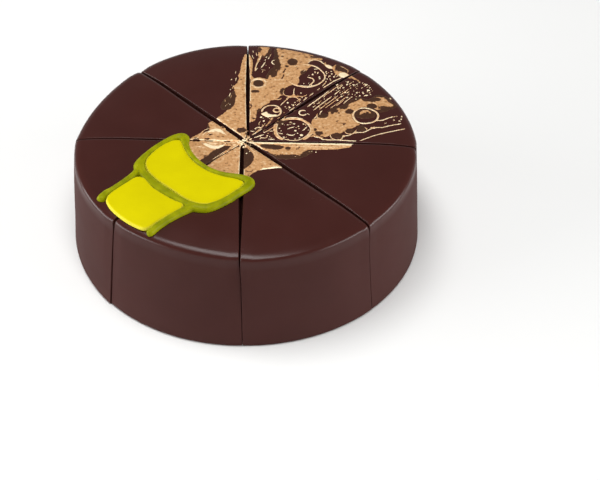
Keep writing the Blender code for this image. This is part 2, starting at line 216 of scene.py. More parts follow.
def slice_points(index, rows, columns):
    """Places of a slice's glaze, for every row of the profile and every column across it."""
    first, second = CUTS[index], CUTS[(index + 1) % len(CUTS)]
    start = math.radians(first.direction)
    end = math.radians(second.direction + (360.0 if index == len(CUTS) - 1 else 0.0))
    radius, height, out, up = (rows[:, [place]] for place in range(4))
    gap_first, gap_second = half_gap(first, radius, height), half_gap(second, radius, height)
    width = radius * (end - start) - gap_first - gap_second
    share, reach, side = (columns[:, place] for place in range(3))
    down = smooth_step((HEIGHT - height) / GAP_CLOSES)
    lip = np.where(side > 0, second.lip_before, first.lip_after)
    on_edge = ~np.isnan(reach)
    reach = np.nan_to_num(reach)
    reach = EDGE_ROUND * np.minimum(reach, 1.0) + lip * np.maximum(reach - 1.0, 0.0)
    from_edge = np.where(on_edge, np.minimum(share * width, reach),
                         np.minimum(share, 1 - share) * width)
    across = np.where(on_edge, from_edge / width, share)
    across = np.where(on_edge & (side > 0), 1 - across, across)
    round_by = np.minimum(EDGE_ROUND, EDGE_ROUND_SHARE * width)
    over_by = np.maximum(round_by - from_edge, 0.0)
    depth = round_by - np.sqrt(np.maximum(round_by ** 2 - over_by ** 2, 0.0))
    pressed = np.maximum(1 - from_edge / lip, 0.0) ** LIP_POWER
    depth = depth + (1 - down) * lip * LIP_SLOPE / LIP_POWER * pressed
    angle = start + (end - start) * across
    at_rim = smooth_step((radius - TOP_FLAT_RADIUS) / (RIM_RADIUS - TOP_FLAT_RADIUS))
    at_rim = at_rim * smooth_step(height / (HEIGHT - GAP_CLOSES))
    at_base = np.maximum(1 - height / BASE_SHIFT_REACH, 0.0)
    pull = np.where(across > 0.5, second.draws_in, first.draws_in)
    pull = pull * (1 - smooth_step(from_edge / CORNER_REACH))
    shift = ((over_slice(RIM_SHIFTS[index], across) - pull) * at_rim
             + over_slice(BASE_SHIFTS[index], across) * at_base)
    toward = np.maximum(0.0, 1 - radius / RIM_RADIUS)
    sideways = ((gap_first + cut_shift(first, radius, height)) * (1 - across)
                - (gap_second - cut_shift(second, radius, height)) * across)
    far = radius + shift - depth * out
    x = CUT_CENTRE[0] * toward + np.cos(angle) * far - np.sin(angle) * sideways
    y = CUT_CENTRE[1] * toward + np.sin(angle) * far + np.cos(angle) * sideways
    z = np.maximum(height - depth * up, 0.0)
    return np.stack(np.broadcast_arrays(x, y, z), -1)


def slice_columns():
    """Columns across a slice: (share of the width, how far over the edge and its lip, side)."""
    turns = np.linspace(0.0, math.pi / 2, ROUND_COLUMNS + 1)
    over = np.concatenate((1 - np.cos(turns), 1 + np.arange(1, LIP_COLUMNS + 1) / LIP_COLUMNS))
    near = [(FINE_SHARE * reach, reach, 0) for reach in over]
    middle = [(step / SLICE_COLUMNS, np.nan, step > SLICE_COLUMNS / 2)
              for step in range(EDGE_COLUMNS, SLICE_COLUMNS - EDGE_COLUMNS + 1)]
    far = [(share, reach, 1) for share, reach, side in reversed(near)]
    return np.array(near + middle + far)


def new_piece(name, data):
    """An object at the origin, put into the scene."""
    piece = bpy.data.objects.new(name, data)
    bpy.context.scene.collection.objects.link(piece)
    return piece


def cut_wall(bm, top_edge, cut, radius, way):
    """One cut face of a slice, from the glaze's edge to the base: its rows of vertices."""
    angle = math.radians(cut.direction)
    beside = np.array((-math.sin(angle), math.cos(angle), 0.0))
    open_by = (half_gap(cut, radius, HEIGHT) - 0.5 * DEEP_GAP) * way
    edge = np.array([vert.co[:] for vert in top_edge]) / MM
    rows = [top_edge]
    for depth in WALL_DEPTHS:
        back = (open_by * smooth_step(depth / CUT_CLOSES) + cut_shift(cut, radius, HEIGHT)
                - cut_shift(cut, radius, HEIGHT - depth))
        level = edge - beside * back[:, None]
        level[:, 2] = np.maximum(edge[:, 2] - depth, 0.0) if depth < WALL_DEPTHS[-1] else 0.0
        rows.append([bm.verts.new(place * MM) for place in level])
    for upper, lower in zip(rows, rows[1:]):
        for step in range(len(top_edge) - 1):
            corners = (upper[step], upper[step + 1], lower[step + 1], lower[step])
            bm.faces.new(corners).material_index = CUT_SLOT
    return rows


def glazed_slice(index):
    """One slice: its glaze from tip to base, two cut walls, the blunt tip and the base."""
    rows = glaze_profile()
    grid = slice_points(index, rows, slice_columns())
    bm = bmesh.new()
    glaze = [[bm.verts.new(place * MM) for place in row] for row in grid]
    for upper, lower in zip(glaze, glaze[1:]):
        for left in range(len(upper) - 1):
            bm.faces.new((upper[left], lower[left], lower[left + 1], upper[left + 1]))
    flat_rows = TOP_ROWS + SHOULDER_ROWS + 1
    walls = []
    for side, cut, way in ((0, CUTS[index], 1), (-1, CUTS[(index + 1) % len(CUTS)], -1)):
        top_edge = [row[side] for row in glaze[:flat_rows]]
        walls.append(cut_wall(bm, top_edge, cut, rows[:flat_rows, 0], way))
        outer = [row[side] for row in glaze[flat_rows - 1:]]
        inner = [row[-1] for row in walls[-1]]
        bm.faces.new(outer + inner[:0:-1]).material_index = CUT_SLOT
    near, far = walls
    bm.faces.new([near[1][0], *glaze[0], far[1][0]]).material_index = CUT_SLOT
    for near_up, near_down, far_up, far_down in zip(near[1:], near[2:], far[1:], far[2:]):
        corners = (near_up[0], near_down[0], far_down[0], far_up[0])
        bm.faces.new(corners).material_index = CUT_SLOT
    bm.faces.new([*near[-1], *glaze[-1], *reversed(far[-1])]).material_index = CUT_SLOT
    bmesh.ops.recalc_face_normals(bm, faces=bm.faces)
    mesh = bpy.data.meshes.new(f"torte_slice_{index + 1}")
    bm.to_mesh(mesh)
    bm.free()
    mesh.shade_smooth()
    mesh.set_sharp_from_angle(angle=SHARP_ANGLE)
    return new_piece(mesh.name, mesh)


def finish_material(name, roughness, specular=0.5):
    """A new Principled material; returns it with its nodes, links and shader."""
    made = bpy.data.materials.new(name)
    made.use_nodes = True
    nodes, links = made.node_tree.nodes, made.node_tree.links
    shader = nodes["Principled BSDF"]
    shader.inputs["Roughness"].default_value = roughness
    shader.inputs["Specular IOR Level"].default_value = specular
    return made, nodes, links, shader


def noise(nodes, links, scale, detail=3.0, stretch=(1.0, 1.0, 1.0)):
    """Noise on object coordinates: the patches are 1 / scale metres across."""
    place = nodes.new("ShaderNodeTexCoord")
    mapping = nodes.new("ShaderNodeMapping")
    mapping.inputs["Scale"].default_value = stretch
    made = nodes.new("ShaderNodeTexNoise")
    made.inputs["Scale"].default_value = scale
    made.inputs["Detail"].default_value = detail
    links.new(place.outputs["Object"], mapping.inputs["Vector"])
    links.new(mapping.outputs["Vector"], made.inputs["Vector"])
    return made.outputs["Fac"]


def colour_ramp(nodes, links, source, stops):
    """Colours over a value: stops are (position, linear colour)."""
    ramp = nodes.new("ShaderNodeValToRGB")
    links.new(source, ramp.inputs["Fac"])
    elements = ramp.color_ramp.elements
    for step, (position, colour) in enumerate(stops):
        stop = elements[step] if step < 2 else elements.new(position)
        stop.position = position
        stop.color = (*colour, 1.0)
    return ramp.outputs["Color"]


def value_range(nodes, links, source, low, high):
    """A value from 0 to 1 turned into one between low and high."""
    made = nodes.new("ShaderNodeMapRange")
    made.inputs["To Min"].default_value = low
    made.inputs["To Max"].default_value = high
    links.new(source, made.inputs["Value"])
    return made.outputs["Result"]


def uneven_gloss(nodes, links, shader, scale, low, high):
    """Roughness that wanders between two values in patches."""
    links.new(value_range(nodes, links, noise(nodes, links, scale), low, high),
              shader.inputs["Roughness"])


def bump(nodes, links, shader, source, height):
    """Fine relief, this high in metres."""
    made = nodes.new("ShaderNodeBump")
    made.inputs["Strength"].default_value = 1.0
    made.inputs["Distance"].default_value = height
    links.new(source, made.inputs["Height"])
    links.new(made.outputs["Normal"], shader.inputs["Normal"])


def glaze_material():
    """Poured chocolate glaze: softly glossy on top, duller down the side where it ran thin."""
    made, nodes, links, shader = finish_material("chocolate_glaze", 0.3, 0.22)
    flow = noise(nodes, links, 28.0, 4.0)
    colour = colour_ramp(nodes, links, flow, ((0.3, GLAZE_DARK), (0.7, GLAZE_BROWN)))
    links.new(colour, shader.inputs["Base Color"])
    place = nodes.new("ShaderNodeSeparateXYZ")
    links.new(nodes.new("ShaderNodeTexCoord").outputs["Object"], place.inputs["Vector"])
    sheen = value_range(nodes, links, place.outputs["Z"], SIDE_ROUGHNESS, TOP_ROUGHNESS)
    for end, depth in zip(("From Min", "From Max"), SHEEN_DEPTHS):
        sheen.node.inputs[end].default_value = (HEIGHT - depth) * MM
    uneven = nodes.new("ShaderNodeMath")
    links.new(sheen, uneven.inputs[0])
    patches = value_range(nodes, links, noise(nodes, links, 60.0, 5.0), -0.06, 0.06)
    links.new(patches, uneven.inputs[1])
    links.new(uneven.outputs["Value"], shader.inputs["Roughness"])
    bump(nodes, links, shader, noise(nodes, links, 900.0, 2.0), 0.00002)
    return made


def cut_face_material():
    """Smeared chocolate inside the cuts, dragged down by the knife: dull and deep brown, deepened
    as painted shade for the narrow slits that little light reaches.
    """
    made, nodes, links, shader = finish_material("cut_face", 0.6, 0.2)
    drag = noise(nodes, links, 350.0, 5.0, (1.0, 1.0, 0.15))
    dark = tuple(0.6 * part for part in CUT_SHADE_BROWN)
    links.new(colour_ramp(nodes, links, drag, ((0.35, dark), (0.65, CUT_SHADE_BROWN))),
              shader.inputs["Base Color"])
    bump(nodes, links, shader, drag, 0.0002)
    return made


glaze_finish = glaze_material()
cut_finish = cut_face_material()
slices = [glazed_slice(number) for number in range(len(CUTS))]
for number, torte_slice in enumerate(slices):
    torte_slice.data.materials.append(glaze_finish)
    torte_slice.data.materials.append(cut_finish)
    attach(torte_slice, "root")
    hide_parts(f"slice_{number + 1}")


# ---- Gold print -----------------------------------------------------------------------
# Gold-coloured cocoa butter, printed on a film and laid on the set glaze before the cake
# was cut: sparkling wine that fans out from the cork in broad fields, with bare bubbles.

PRINT_CELL = 0.38               # mesh size of the print
PRINT_THICKNESS = 0.20
PRINT_SUNK = 0.12
PRINT_EDGE = 0.7                # it thins out over this distance from its edge
PRINT_MARGIN = 0.15             # and stays this far from a cut
PRINT_RIM_GAP = 2.2             # and from the rim
PRINT_SPAN = (-46.0, 116.0)     # it lies between these places, both ways
PRINT_GRAIN = 0.05
THINNEST_RISE = 0.03
RAGGED = 0.45                   # how far its edge wanders
PALE_CUT_BAND = 0.8               # the paler edge at a cut is about this broad
WORK_RIM_GAP = 1.5              # nothing nearer to the rim than this is looked at
OUTSIDE = -9.0                  # stands for the depth of a place far outside
FELL_IN = 6                     # a place this far below the top is down a cut
PLAIN_TONE = 0.5                # tones run from smoky 0 to cream 1
BARE_TONE = 0.06
CREAM_AND_HIGHLIGHT_TONE = 0.98
SMOKE_DARKENS = 0.42
GOLD_TAN = (0.650, 0.350, 0.151)
GOLD_DEEP = (0.552, 0.281, 0.112)
GOLD_BROWN = (0.120, 0.050, 0.024)
GOLD_SMOKY = (0.062, 0.0235, 0.0105)
# the cream colour of the print, used too for its painted highlights
GOLD_CREAM_AND_HIGHLIGHT = (0.98, 0.82, 0.54)

GOLD_FIELDS = {
    "west_and_south": (
        (-4.6, 103.5), (-6.0, 99.0), (-6.8, 92.0), (-7.5, 82.0), (-8.6, 77.0), (-8.3, 72.0),
        (-9.3, 68.0), (-11.5, 63.5), (-11.0, 59.0), (-10.0, 55.0), (-9.5, 48.0), (-11.0, 41.0),
        (-14.0, 38.0), (-16.5, 33.0), (-20.0, 28.5), (-23.0, 25.0), (-27.5, 20.5),
        (-28.0, 15.0), (-30.0, 12.0), (-35.0, 7.0), (-40.0, 2.5), (-43.0, -1.0), (-41.0, -12.0),
        (-36.0, -22.0), (-29.0, -30.0), (-22.0, -36.0), (-13.0, -40.0), (-4.0, -42.0),
        (2.0, -40.0), (3.8, -37.0), (5.0, -35.0), (8.0, -32.2), (12.0, -30.2), (19.0, -28.6),
        (24.4, -27.6), (25.0, -25.0), (14.0, -13.0), (5.0, -4.0), (1.0, 2.0), (0.6, 20.0),
        (0.6, 60.0), (-1.0, 90.0), (-3.2, 103.0),
    ),
    "north": (
        (-3.0, 21.5), (2.0, 22.5), (5.0, 23.5), (6.0, 28.0), (7.0, 33.0), (9.0, 36.0),
        (10.0, 39.5), (12.0, 42.0), (15.0, 44.5), (15.5, 47.0), (18.0, 48.0), (21.5, 50.5),
        (22.5, 53.0), (25.5, 54.5), (26.0, 62.0), (30.5, 65.8), (34.5, 66.0), (36.0, 71.0),
        (35.5, 75.0), (37.0, 78.0), (39.0, 79.5), (41.5, 84.0), (42.5, 87.0), (44.5, 90.0),
        (43.0, 92.0), (42.0, 93.5), (44.5, 96.6), (48.0, 98.3), (51.0, 98.0), (52.5, 100.5),
        (45.0, 104.8), (38.0, 107.6), (30.0, 110.2), (22.0, 112.3), (18.8, 112.8),
        (18.5, 110.0), (19.6, 105.0), (20.0, 100.0), (21.0, 95.0), (21.4, 90.0), (19.0, 87.0),
        (18.5, 85.0), (15.5, 80.0), (14.0, 77.0), (12.5, 73.0), (9.0, 74.3), (6.4, 74.8),
        (3.5, 74.0), (1.6, 76.0), (1.4, 82.0), (1.6, 90.0), (0.6, 98.0), (-3.0, 98.0),
    ),
    "tongue": (
        (5.0, 114.2), (12.8, 114.0), (12.2, 108.0), (11.0, 103.6), (9.6, 101.0), (8.2, 102.6),
        (7.4, 99.0), (5.6, 94.0), (4.4, 88.5), (4.3, 83.5), (3.0, 82.6), (3.2, 88.0),
        (4.0, 94.0), (5.2, 100.0), (4.8, 106.0),
    ),
    "east_lane": (
        (46.2, 10.0), (45.4, 18.0), (45.4, 25.0), (49.5, 28.0), (54.0, 29.0), (57.0, 32.0),
        (57.5, 35.0), (62.0, 37.0), (64.5, 39.5), (68.0, 38.0), (70.5, 40.0), (71.0, 42.5),
        (73.5, 45.5), (77.0, 47.5), (80.0, 50.5), (82.0, 48.0), (86.0, 48.0), (89.0, 51.0),
        (91.0, 53.5), (95.0, 54.0), (97.5, 53.5), (100.0, 49.0), (103.5, 45.0), (101.0, 42.5),
        (97.0, 40.5), (92.8, 38.4), (89.0, 39.4), (83.0, 41.2), (77.5, 38.6), (74.4, 34.0),
        (73.9, 30.0), (75.2, 25.5), (78.6, 22.2), (79.5, 21.0), (76.0, 18.0), (73.0, 16.0),
        (69.0, 13.0), (66.0, 11.0), (62.0, 10.0), (58.0, 8.0), (54.5, 6.4), (50.0, 8.6),
    ),
    "east_band": (
        (1.0, -0.2), (30.0, -0.2), (71.0, -0.4), (73.0, -2.0), (71.8, -5.0), (60.0, -7.5),
        (45.0, -8.2), (41.0, -10.0), (38.5, -13.0), (37.0, -15.2), (34.0, -14.0), (30.0, -15.6),
        (27.0, -14.6), (24.0, -16.5), (20.0, -15.0), (16.0, -11.4), (12.0, -8.4), (6.0, -4.6),
    ),
    "flame": (
        (50.5, 96.5), (53.0, 93.5), (55.5, 97.2), (55.0, 94.0), (58.0, 92.0), (60.0, 90.5),
        (62.6, 93.4), (62.0, 88.0), (64.5, 85.5), (68.0, 83.5), (70.6, 82.5), (71.5, 79.4),
        (67.5, 76.3), (63.5, 78.8), (61.5, 81.0), (60.5, 85.0), (59.5, 87.0), (57.0, 87.5),
        (54.0, 91.0),
    ),
    "small_flame": (
        (70.4, 77.0), (72.0, 80.6), (74.0, 79.4), (75.4, 77.4), (79.6, 73.0), (80.6, 71.0),
        (78.4, 72.4), (74.6, 75.2), (72.0, 75.2),
    ),
    "ball": (
        (79.2, 33.0), (80.4, 36.2), (83.4, 37.4), (86.4, 36.0), (87.2, 33.0), (85.4, 31.0),
        (82.0, 30.4), (79.8, 31.2),
    ),
    "highlight_crescent": (
        (9.3, 32.2), (11.6, 33.6), (13.2, 34.4), (14.6, 32.2), (17.2, 31.2), (20.2, 31.1),
        (20.4, 29.4), (17.4, 28.4), (13.6, 28.2), (10.6, 30.2),
    ),
    "thick_streak": (
        (12.6, 18.2), (14.4, 21.4), (15.6, 24.8), (16.8, 27.6), (18.2, 27.4), (17.0, 23.6),
        (15.0, 20.0), (13.4, 18.0),
    ),
    "star": (
        (27.4, 52.2), (29.2, 53.4), (31.0, 54.0), (32.2, 57.0), (33.2, 54.0), (35.2, 53.2),
        (35.6, 51.8), (32.6, 51.4), (29.6, 51.2),
    ),
    "corner": ((47.0, 9.2), (49.6, 8.0), (53.6, 5.6), (52.4, 4.0), (47.6, 6.4), (44.4, 6.6)),
}

# Bare places within the fields: (x, y, half width, half height).
BARE_CELLS = (
    (6.4, 67.6, 3.7, 4.3), (18.4, 93.5, 2.8, 3.2), (30.5, 94.5, 3.7, 4.5),
    (4.2, 58.0, 2.8, 1.7), (1.6, 40.5, 0.9, 3.0), (26.5, 88.8, 1.1, 1.3),
    (23.0, 102.0, 0.8, 0.8), (21.0, 90.2, 1.1, 1.5), (4.3, 26.5, 1.0, 0.8),
    (53.0, 30.6, 4.0, 2.7), (50.6, 10.8, 2.8, 1.9), (63.2, 8.2, 4.4, 2.7),
    (72.2, 13.4, 3.2, 2.9), (80.4, 16.6, 3.4, 3.0), (72.0, 35.5, 3.1, 2.7),
    (88.0, 42.5, 3.6, 2.9), (92.0, 51.0, 2.5, 2.3), (66.2, 39.0, 1.2, 0.9),
    (47.8, 14.6, 1.2, 1.6), (60.0, 33.5, 0.8, 0.9), (68.0, 20.8, 0.7, 1.0),
    (29.0, -6.6, 1.9, 1.6), (-3.9, 13.0, 3.3, 2.6), (-25.6, 8.0, 1.5, 1.0),
    (-27.2, 2.8, 1.7, 0.9), (84.6, 34.6, 0.9, 0.8), (33.6, 88.8, 0.6, 0.6),
    (64.6, 33.6, 0.5, 0.5), (-9.6, 52.0, 0.7, 1.1), (-12.4, 0.2, 1.1, 0.5),
    (-5.6, -5.4, 1.2, 0.8),
)
BARE_SHAPES = {
    "south_lens": (
        (-1.4, -7.5), (2.5, -9.5), (5.2, -13.5), (5.8, -18.0), (4.8, -22.5), (2.4, -26.5),
        (-1.6, -28.8),
    ),
    "south_west_lane": (
        (-10.6, -4.8), (-15.0, -5.0), (-19.0, -7.5), (-22.6, -10.5), (-25.4, -14.6),
        (-28.2, -18.2), (-31.5, -22.0), (-26.5, -26.8), (-22.4, -21.4), (-19.2, -17.4),
        (-15.6, -13.0), (-12.8, -8.4),
    ),
    "east_lens": (
        (9.5, -3.0), (15.5, -2.4), (22.0, -3.4), (26.4, -5.2), (22.6, -8.2), (16.4, -7.4),
        (11.8, -5.8),
    ),
    "west_notch": ((-35.2, 4.9), (-37.2, 0.8), (-32.4, 0.1)),
    "streak_gap": (
        (25.9, 85.4), (25.2, 83.0), (24.2, 80.6), (23.9, 81.0), (24.8, 83.6), (25.2, 85.6),
    ),
    "streak_gap_low": (
        (24.6, 78.4), (24.4, 76.0), (23.7, 73.2), (23.0, 73.6), (23.7, 76.4), (24.0, 78.2),
    ),
}
# Cream places, where the butter is thickest, are partly paler print and partly painted highlight
# where the raised print catches the light, as in the arcs beside the bubbles; smoky ones are where
# it is thinnest.
CREAM_AND_HIGHLIGHT_SHAPES = {
    "highlight_crescent": GOLD_FIELDS["highlight_crescent"],
    "bubble_top_highlight": (
        (-27.4, 10.2), (-24.6, 13.2), (-20.4, 14.2), (-16.6, 11.4), (-15.2, 7.8), (-18.2, 9.6),
        (-21.4, 10.8), (-24.4, 10.2),
    ),
    "bubble_base_highlight": (
        (-29.8, -2.4), (-26.4, -6.4), (-22.0, -8.4), (-17.6, -6.8), (-14.6, -3.6),
        (-19.0, -4.6), (-23.0, -4.8), (-26.4, -2.8),
    ),
    "slit_smear": ((-28.4, 0.6), (-24.0, 2.0), (-19.4, 1.2), (-20.6, -0.2), (-25.0, -0.4)),
    "east_edge": (
        (3.0, 0.5), (3.0, -1.4), (20.0, -1.6), (40.0, -2.2), (60.0, -2.6), (72.5, -3.0),
        (72.5, 0.5),
    ),
    "flame_low": (
        (64.8, 77.8), (67.5, 76.0), (70.8, 78.8), (69.6, 82.0), (66.4, 82.4), (64.6, 80.6),
    ),
    "flame_high": ((54.4, 91.4), (56.4, 87.8), (59.6, 87.6), (59.0, 90.4), (56.4, 91.8)),
    "south_edge": ((12.0, -29.0), (19.0, -27.2), (24.0, -26.4), (24.6, -28.2), (12.0, -30.6)),
}
SMOKY_FIELDS = (
    ((-10.0, 60.0), (-13.0, 56.0), (-16.0, 51.0), (-18.6, 45.0), (-19.8, 40.0), (-18.0, 36.0),
     (-14.0, 38.0), (-10.5, 42.0), (-9.0, 50.0)),
    ((18.5, 112.6), (16.2, 109.0), (17.0, 102.0), (15.6, 95.0), (16.8, 89.0), (13.8, 83.0),
     (11.6, 77.0), (12.6, 73.6), (16.0, 79.0), (20.0, 85.0), (22.4, 90.0), (21.6, 96.0),
     (21.0, 104.0)),
    ((13.8, 113.4), (14.8, 109.0), (13.0, 103.0), (10.8, 99.6), (8.0, 100.0), (9.0, 108.0)),
    ((13.0, -12.0), (20.0, -17.4), (28.0, -18.6), (36.0, -18.0), (42.0, -14.6), (47.0, -10.2),
     (44.0, -7.0), (34.0, -12.0), (22.0, -12.4)),
    ((56.4, 34.0), (60.0, 39.4), (67.0, 42.6), (72.0, 48.0), (78.0, 52.4), (86.0, 51.0),
     (91.0, 56.2), (97.6, 56.2), (102.6, 50.0), (106.0, 44.6), (101.0, 39.6), (94.0, 35.4),
     (90.0, 40.0), (80.0, 44.0), (66.0, 34.0)),
    ((62.4, 93.6), (67.0, 92.2), (71.6, 88.0), (72.4, 84.6), (69.0, 82.6), (64.0, 85.0)),
    ((75.6, 31.0), (77.6, 36.0), (82.0, 38.8), (88.0, 37.0), (90.4, 32.0), (87.6, 28.4),
     (80.0, 27.6)),
    ((18.0, 8.0), (19.6, 20.0), (26.0, 27.0), (32.0, 30.0), (36.0, 28.0), (28.0, 24.0),
     (21.0, 14.0)),
)
SMOKY_PLACES = (
    (-15.0, 44.0, 5.0, 8.0), (66.5, 86.5, 4.5, 2.6), (29.0, -15.5, 10.0, 1.8),
    (20.0, 88.0, 2.0, 5.0), (24.4, 58.0, 2.2, 4.0), (-29.0, 15.0, 2.5, 5.0),
    (88.0, 50.0, 3.0, 2.5), (97.5, 41.0, 4.0, 2.0), (84.0, 31.6, 4.0, 2.6),
    (8.0, 34.0, 2.0, 4.0), (17.0, 80.0, 2.4, 5.0), (5.6, 110.0, 1.6, 3.0),
    (48.0, 102.0, 4.0, 1.6), (61.0, 36.0, 3.0, 2.0), (38.6, 81.0, 2.0, 3.0),
)


def smooth_path(points, per_span, closed):
    """A smooth curve through the points (Catmull-Rom), with per_span steps between two."""
    points = np.array(points, dtype=float)
    count = len(points)
    path = []
    for span in range(count if closed else count - 1):
        near = span + np.arange(-1, 3)
        before, start, end, after = points[near % count if closed else np.clip(near, 0, count - 1)]
        for part in np.arange(per_span) / per_span:
            path.append(0.5 * (2 * start + (end - before) * part
                               + (2 * before - 5 * start + 4 * end - after) * part ** 2
                               + (3 * start - before - 3 * end + after) * part ** 3))
    if not closed:
        path.append(points[-1])
    return np.array(path)


def outline_depth(x, y, points):
    """How far inside a closed outline each place is, in mm; less than nothing outside it."""
    edge = smooth_path(points, 4, True)
    least = np.full(x.shape, 1e9)
    inside = np.zeros(x.shape, bool)
    for (ax, ay), (bx, by) in zip(edge, np.roll(edge, -1, 0)):
        run_x, run_y = bx - ax, by - ay
        share = ((x - ax) * run_x + (y - ay) * run_y) / (run_x ** 2 + run_y ** 2 + 1e-9)
        share = np.clip(share, 0, 1)
        least = np.minimum(least, (x - ax - share * run_x) ** 2 + (y - ay - share * run_y) ** 2)
        if ay != by:
            inside ^= ((ay > y) != (by > y)) & (x < ax + (y - ay) * run_x / run_y)
    return np.where(inside, 1.0, -1.0) * np.sqrt(least)


def oval_depth(x, y, oval):
    """The same for an oval, roughly."""
    across, up, half_width, half_height = oval
    far = np.hypot((x - across) / half_width, (y - up) / half_height)
    return (1 - far) * min(half_width, half_height)


def ripple(x, y, size, layer):
    """Smooth random waves of about this size in mm, between -1 and 1, new in each layer."""
    places = zip(x.ravel() / size, y.ravel() / size)
    return np.array([noise_at((a, b, layer)) for a, b in places]).reshape(x.shape)


def slice_reach(number, x, y):
    """How far inside a slice's top each place is, in mm, from the cuts on its two sides."""
    radius = np.hypot(x, y)
    toward = np.maximum(0.0, 1 - radius / RIM_RADIUS)
    x, y = x - CUT_CENTRE[0] * toward, y - CUT_CENTRE[1] * toward
    reach = np.full(x.shape, 1e9)
    for cut, way in ((CUTS[number], 1.0), (CUTS[(number + 1) % len(CUTS)], -1.0)):
        angle = math.radians(cut.direction)
        c, s = math.cos(angle), math.sin(angle)
        beside = way * (c * y - s * x - cut_shift(cut, radius, HEIGHT))
        beside = beside - half_gap(cut, radius, HEIGHT)
        reach = np.minimum(reach, np.where(c * x + s * y > 0, beside, OUTSIDE))
    return reach


def print_cover(x, y):
    """How far inside the print each place is, in mm, and its tone from smoky 0 to cream 1."""
    cover = np.full(x.shape, OUTSIDE)
    for points in GOLD_FIELDS.values():
        cover = np.maximum(cover, outline_depth(x, y, points))
    for oval in BARE_CELLS:
        cover = np.minimum(cover, -oval_depth(x, y, oval))
    for points in BARE_SHAPES.values():
        cover = np.minimum(cover, -outline_depth(x, y, points))
    cover += RAGGED * (0.7 * ripple(x, y, 1.9, 0.0) + 0.5 * ripple(x, y, 0.8, 5.0))
    thin = np.full(x.shape, OUTSIDE)
    for points in SMOKY_FIELDS + tuple(BARE_SHAPES.values()):
        thin = np.maximum(thin, outline_depth(x, y, points))
    for oval in BARE_CELLS:
        thin = np.maximum(thin, oval_depth(x, y, oval))
    tone = PLAIN_TONE + 0.10 * ripple(x, y, 5.0, 9.0)
    bare = smooth_step(0.5 - cover / 0.9)
    tone = tone * (1 - bare) + (BARE_TONE + 0.12 * ripple(x, y, 1.5, 17.0)) * bare
    cover = np.maximum(cover, thin + 0.6 * ripple(x, y, 2.4, 19.0))
    for oval in SMOKY_PLACES:
        smoke = smooth_step(oval_depth(x, y, oval) / 1.5 + 0.5 + 0.5 * ripple(x, y, 1.3, 7.0))
        tone = tone - SMOKE_DARKENS * smoke
    # cream print, partly painted highlight where the raised print catches the light
    for points in CREAM_AND_HIGHLIGHT_SHAPES.values():
        cream_and_highlight = smooth_step(outline_depth(x, y, points) / 0.6 + 0.4 + 0.4 * ripple(x, y, 1.2, 3.0))
        tone = tone + (CREAM_AND_HIGHLIGHT_TONE - tone) * cream_and_highlight
    return cover, np.clip(tone, 0.0, 1.0)


def top_surface():
    """All the slices as one surface to lay the print on."""
    places, faces = [], []
    for torte_slice in slices:
        first = len(places)
        places += [vertex.co[:] for vertex in torte_slice.data.vertices]
        faces += [[first + corner for corner in face.vertices]
                  for face in torte_slice.data.polygons]
    return BVHTree.FromPolygons(places, faces)


def ground_under(x, y):
    """Height of the glaze under each place, in mm."""
    ground = []
    down = Vector((0.0, 0.0, -1.0))
    for place_x, place_y in zip(x * MM, y * MM):
        hit = glaze_surface.ray_cast(Vector((place_x, place_y, 0.1)), down)[0]
        if hit is None or hit.z < (HEIGHT - FELL_IN) * MM:
            hit = glaze_surface.find_nearest(Vector((place_x, place_y, HEIGHT * MM)))[0]
        ground.append(hit.z / MM)
    return np.array(ground)


def lay_on(mesh, height_under, lift=0.0):
    """Move a mesh that was made on a flat sheet so that it lies on what is under it."""
    places = np.empty(len(mesh.vertices) * 3)
    mesh.vertices.foreach_get("co", places)
    places = places.reshape(-1, 3)
    places[:, 2] += (height_under(places[:, 0] / MM, places[:, 1] / MM) + lift) * MM
    mesh.vertices.foreach_set("co", places.ravel())
    mesh.update()


def print_cells(inset):
    """Which cells of the grid the print covers, from how far inside it their corners are."""
    filled = inset > 0
    kept = filled[:-1, :-1] | filled[1:, :-1] | filled[:-1, 1:] | filled[1:, 1:]
    kept &= (inset[:-1, :-1] > -2) & (inset[1:, 1:] > -2)
    # Where two cells would touch at one corner only, one of them goes.
    kept[1:, 1:] &= ~(kept[:-1, :-1] & ~kept[1:, :-1] & ~kept[:-1, 1:])
    kept[1:, :-1] &= ~(kept[:-1, 1:] & ~kept[:-1, :-1] & ~kept[1:, 1:])
    return kept


def onto_edge(x, y, inset):
    """Move the outermost places onto the print's edge, so that the edge runs smoothly."""
    slope_x, slope_y = np.gradient(inset, PRINT_CELL)
    steep = np.maximum(slope_x ** 2 + slope_y ** 2, 0.15)
    pull = np.where(inset > 0, 0.0, np.clip(-inset / steep, 0.0, 1.3 * PRINT_CELL))
    return x + pull * slope_x, y + pull * slope_y


def closed_slab(name, above, below, corners):
    """A mesh of two like sheets, one over the other, with a wall round their edges."""
    count = len(above)
    sides = np.concatenate([corners[:, [step, (step + 1) % 4]] for step in range(4)])
    matched = {tuple(pair) for pair in sides.tolist()}
    rim = [(a, b) for a, b in sides.tolist() if (b, a) not in matched]
    faces = corners.tolist() + (corners[:, ::-1] + count).tolist()
    faces += [(a, a + count, b + count, b) for a, b in rim]
    mesh = bpy.data.meshes.new(name)
    mesh.from_pydata((np.concatenate((above, below)) * MM).tolist(), [], faces)
    return mesh


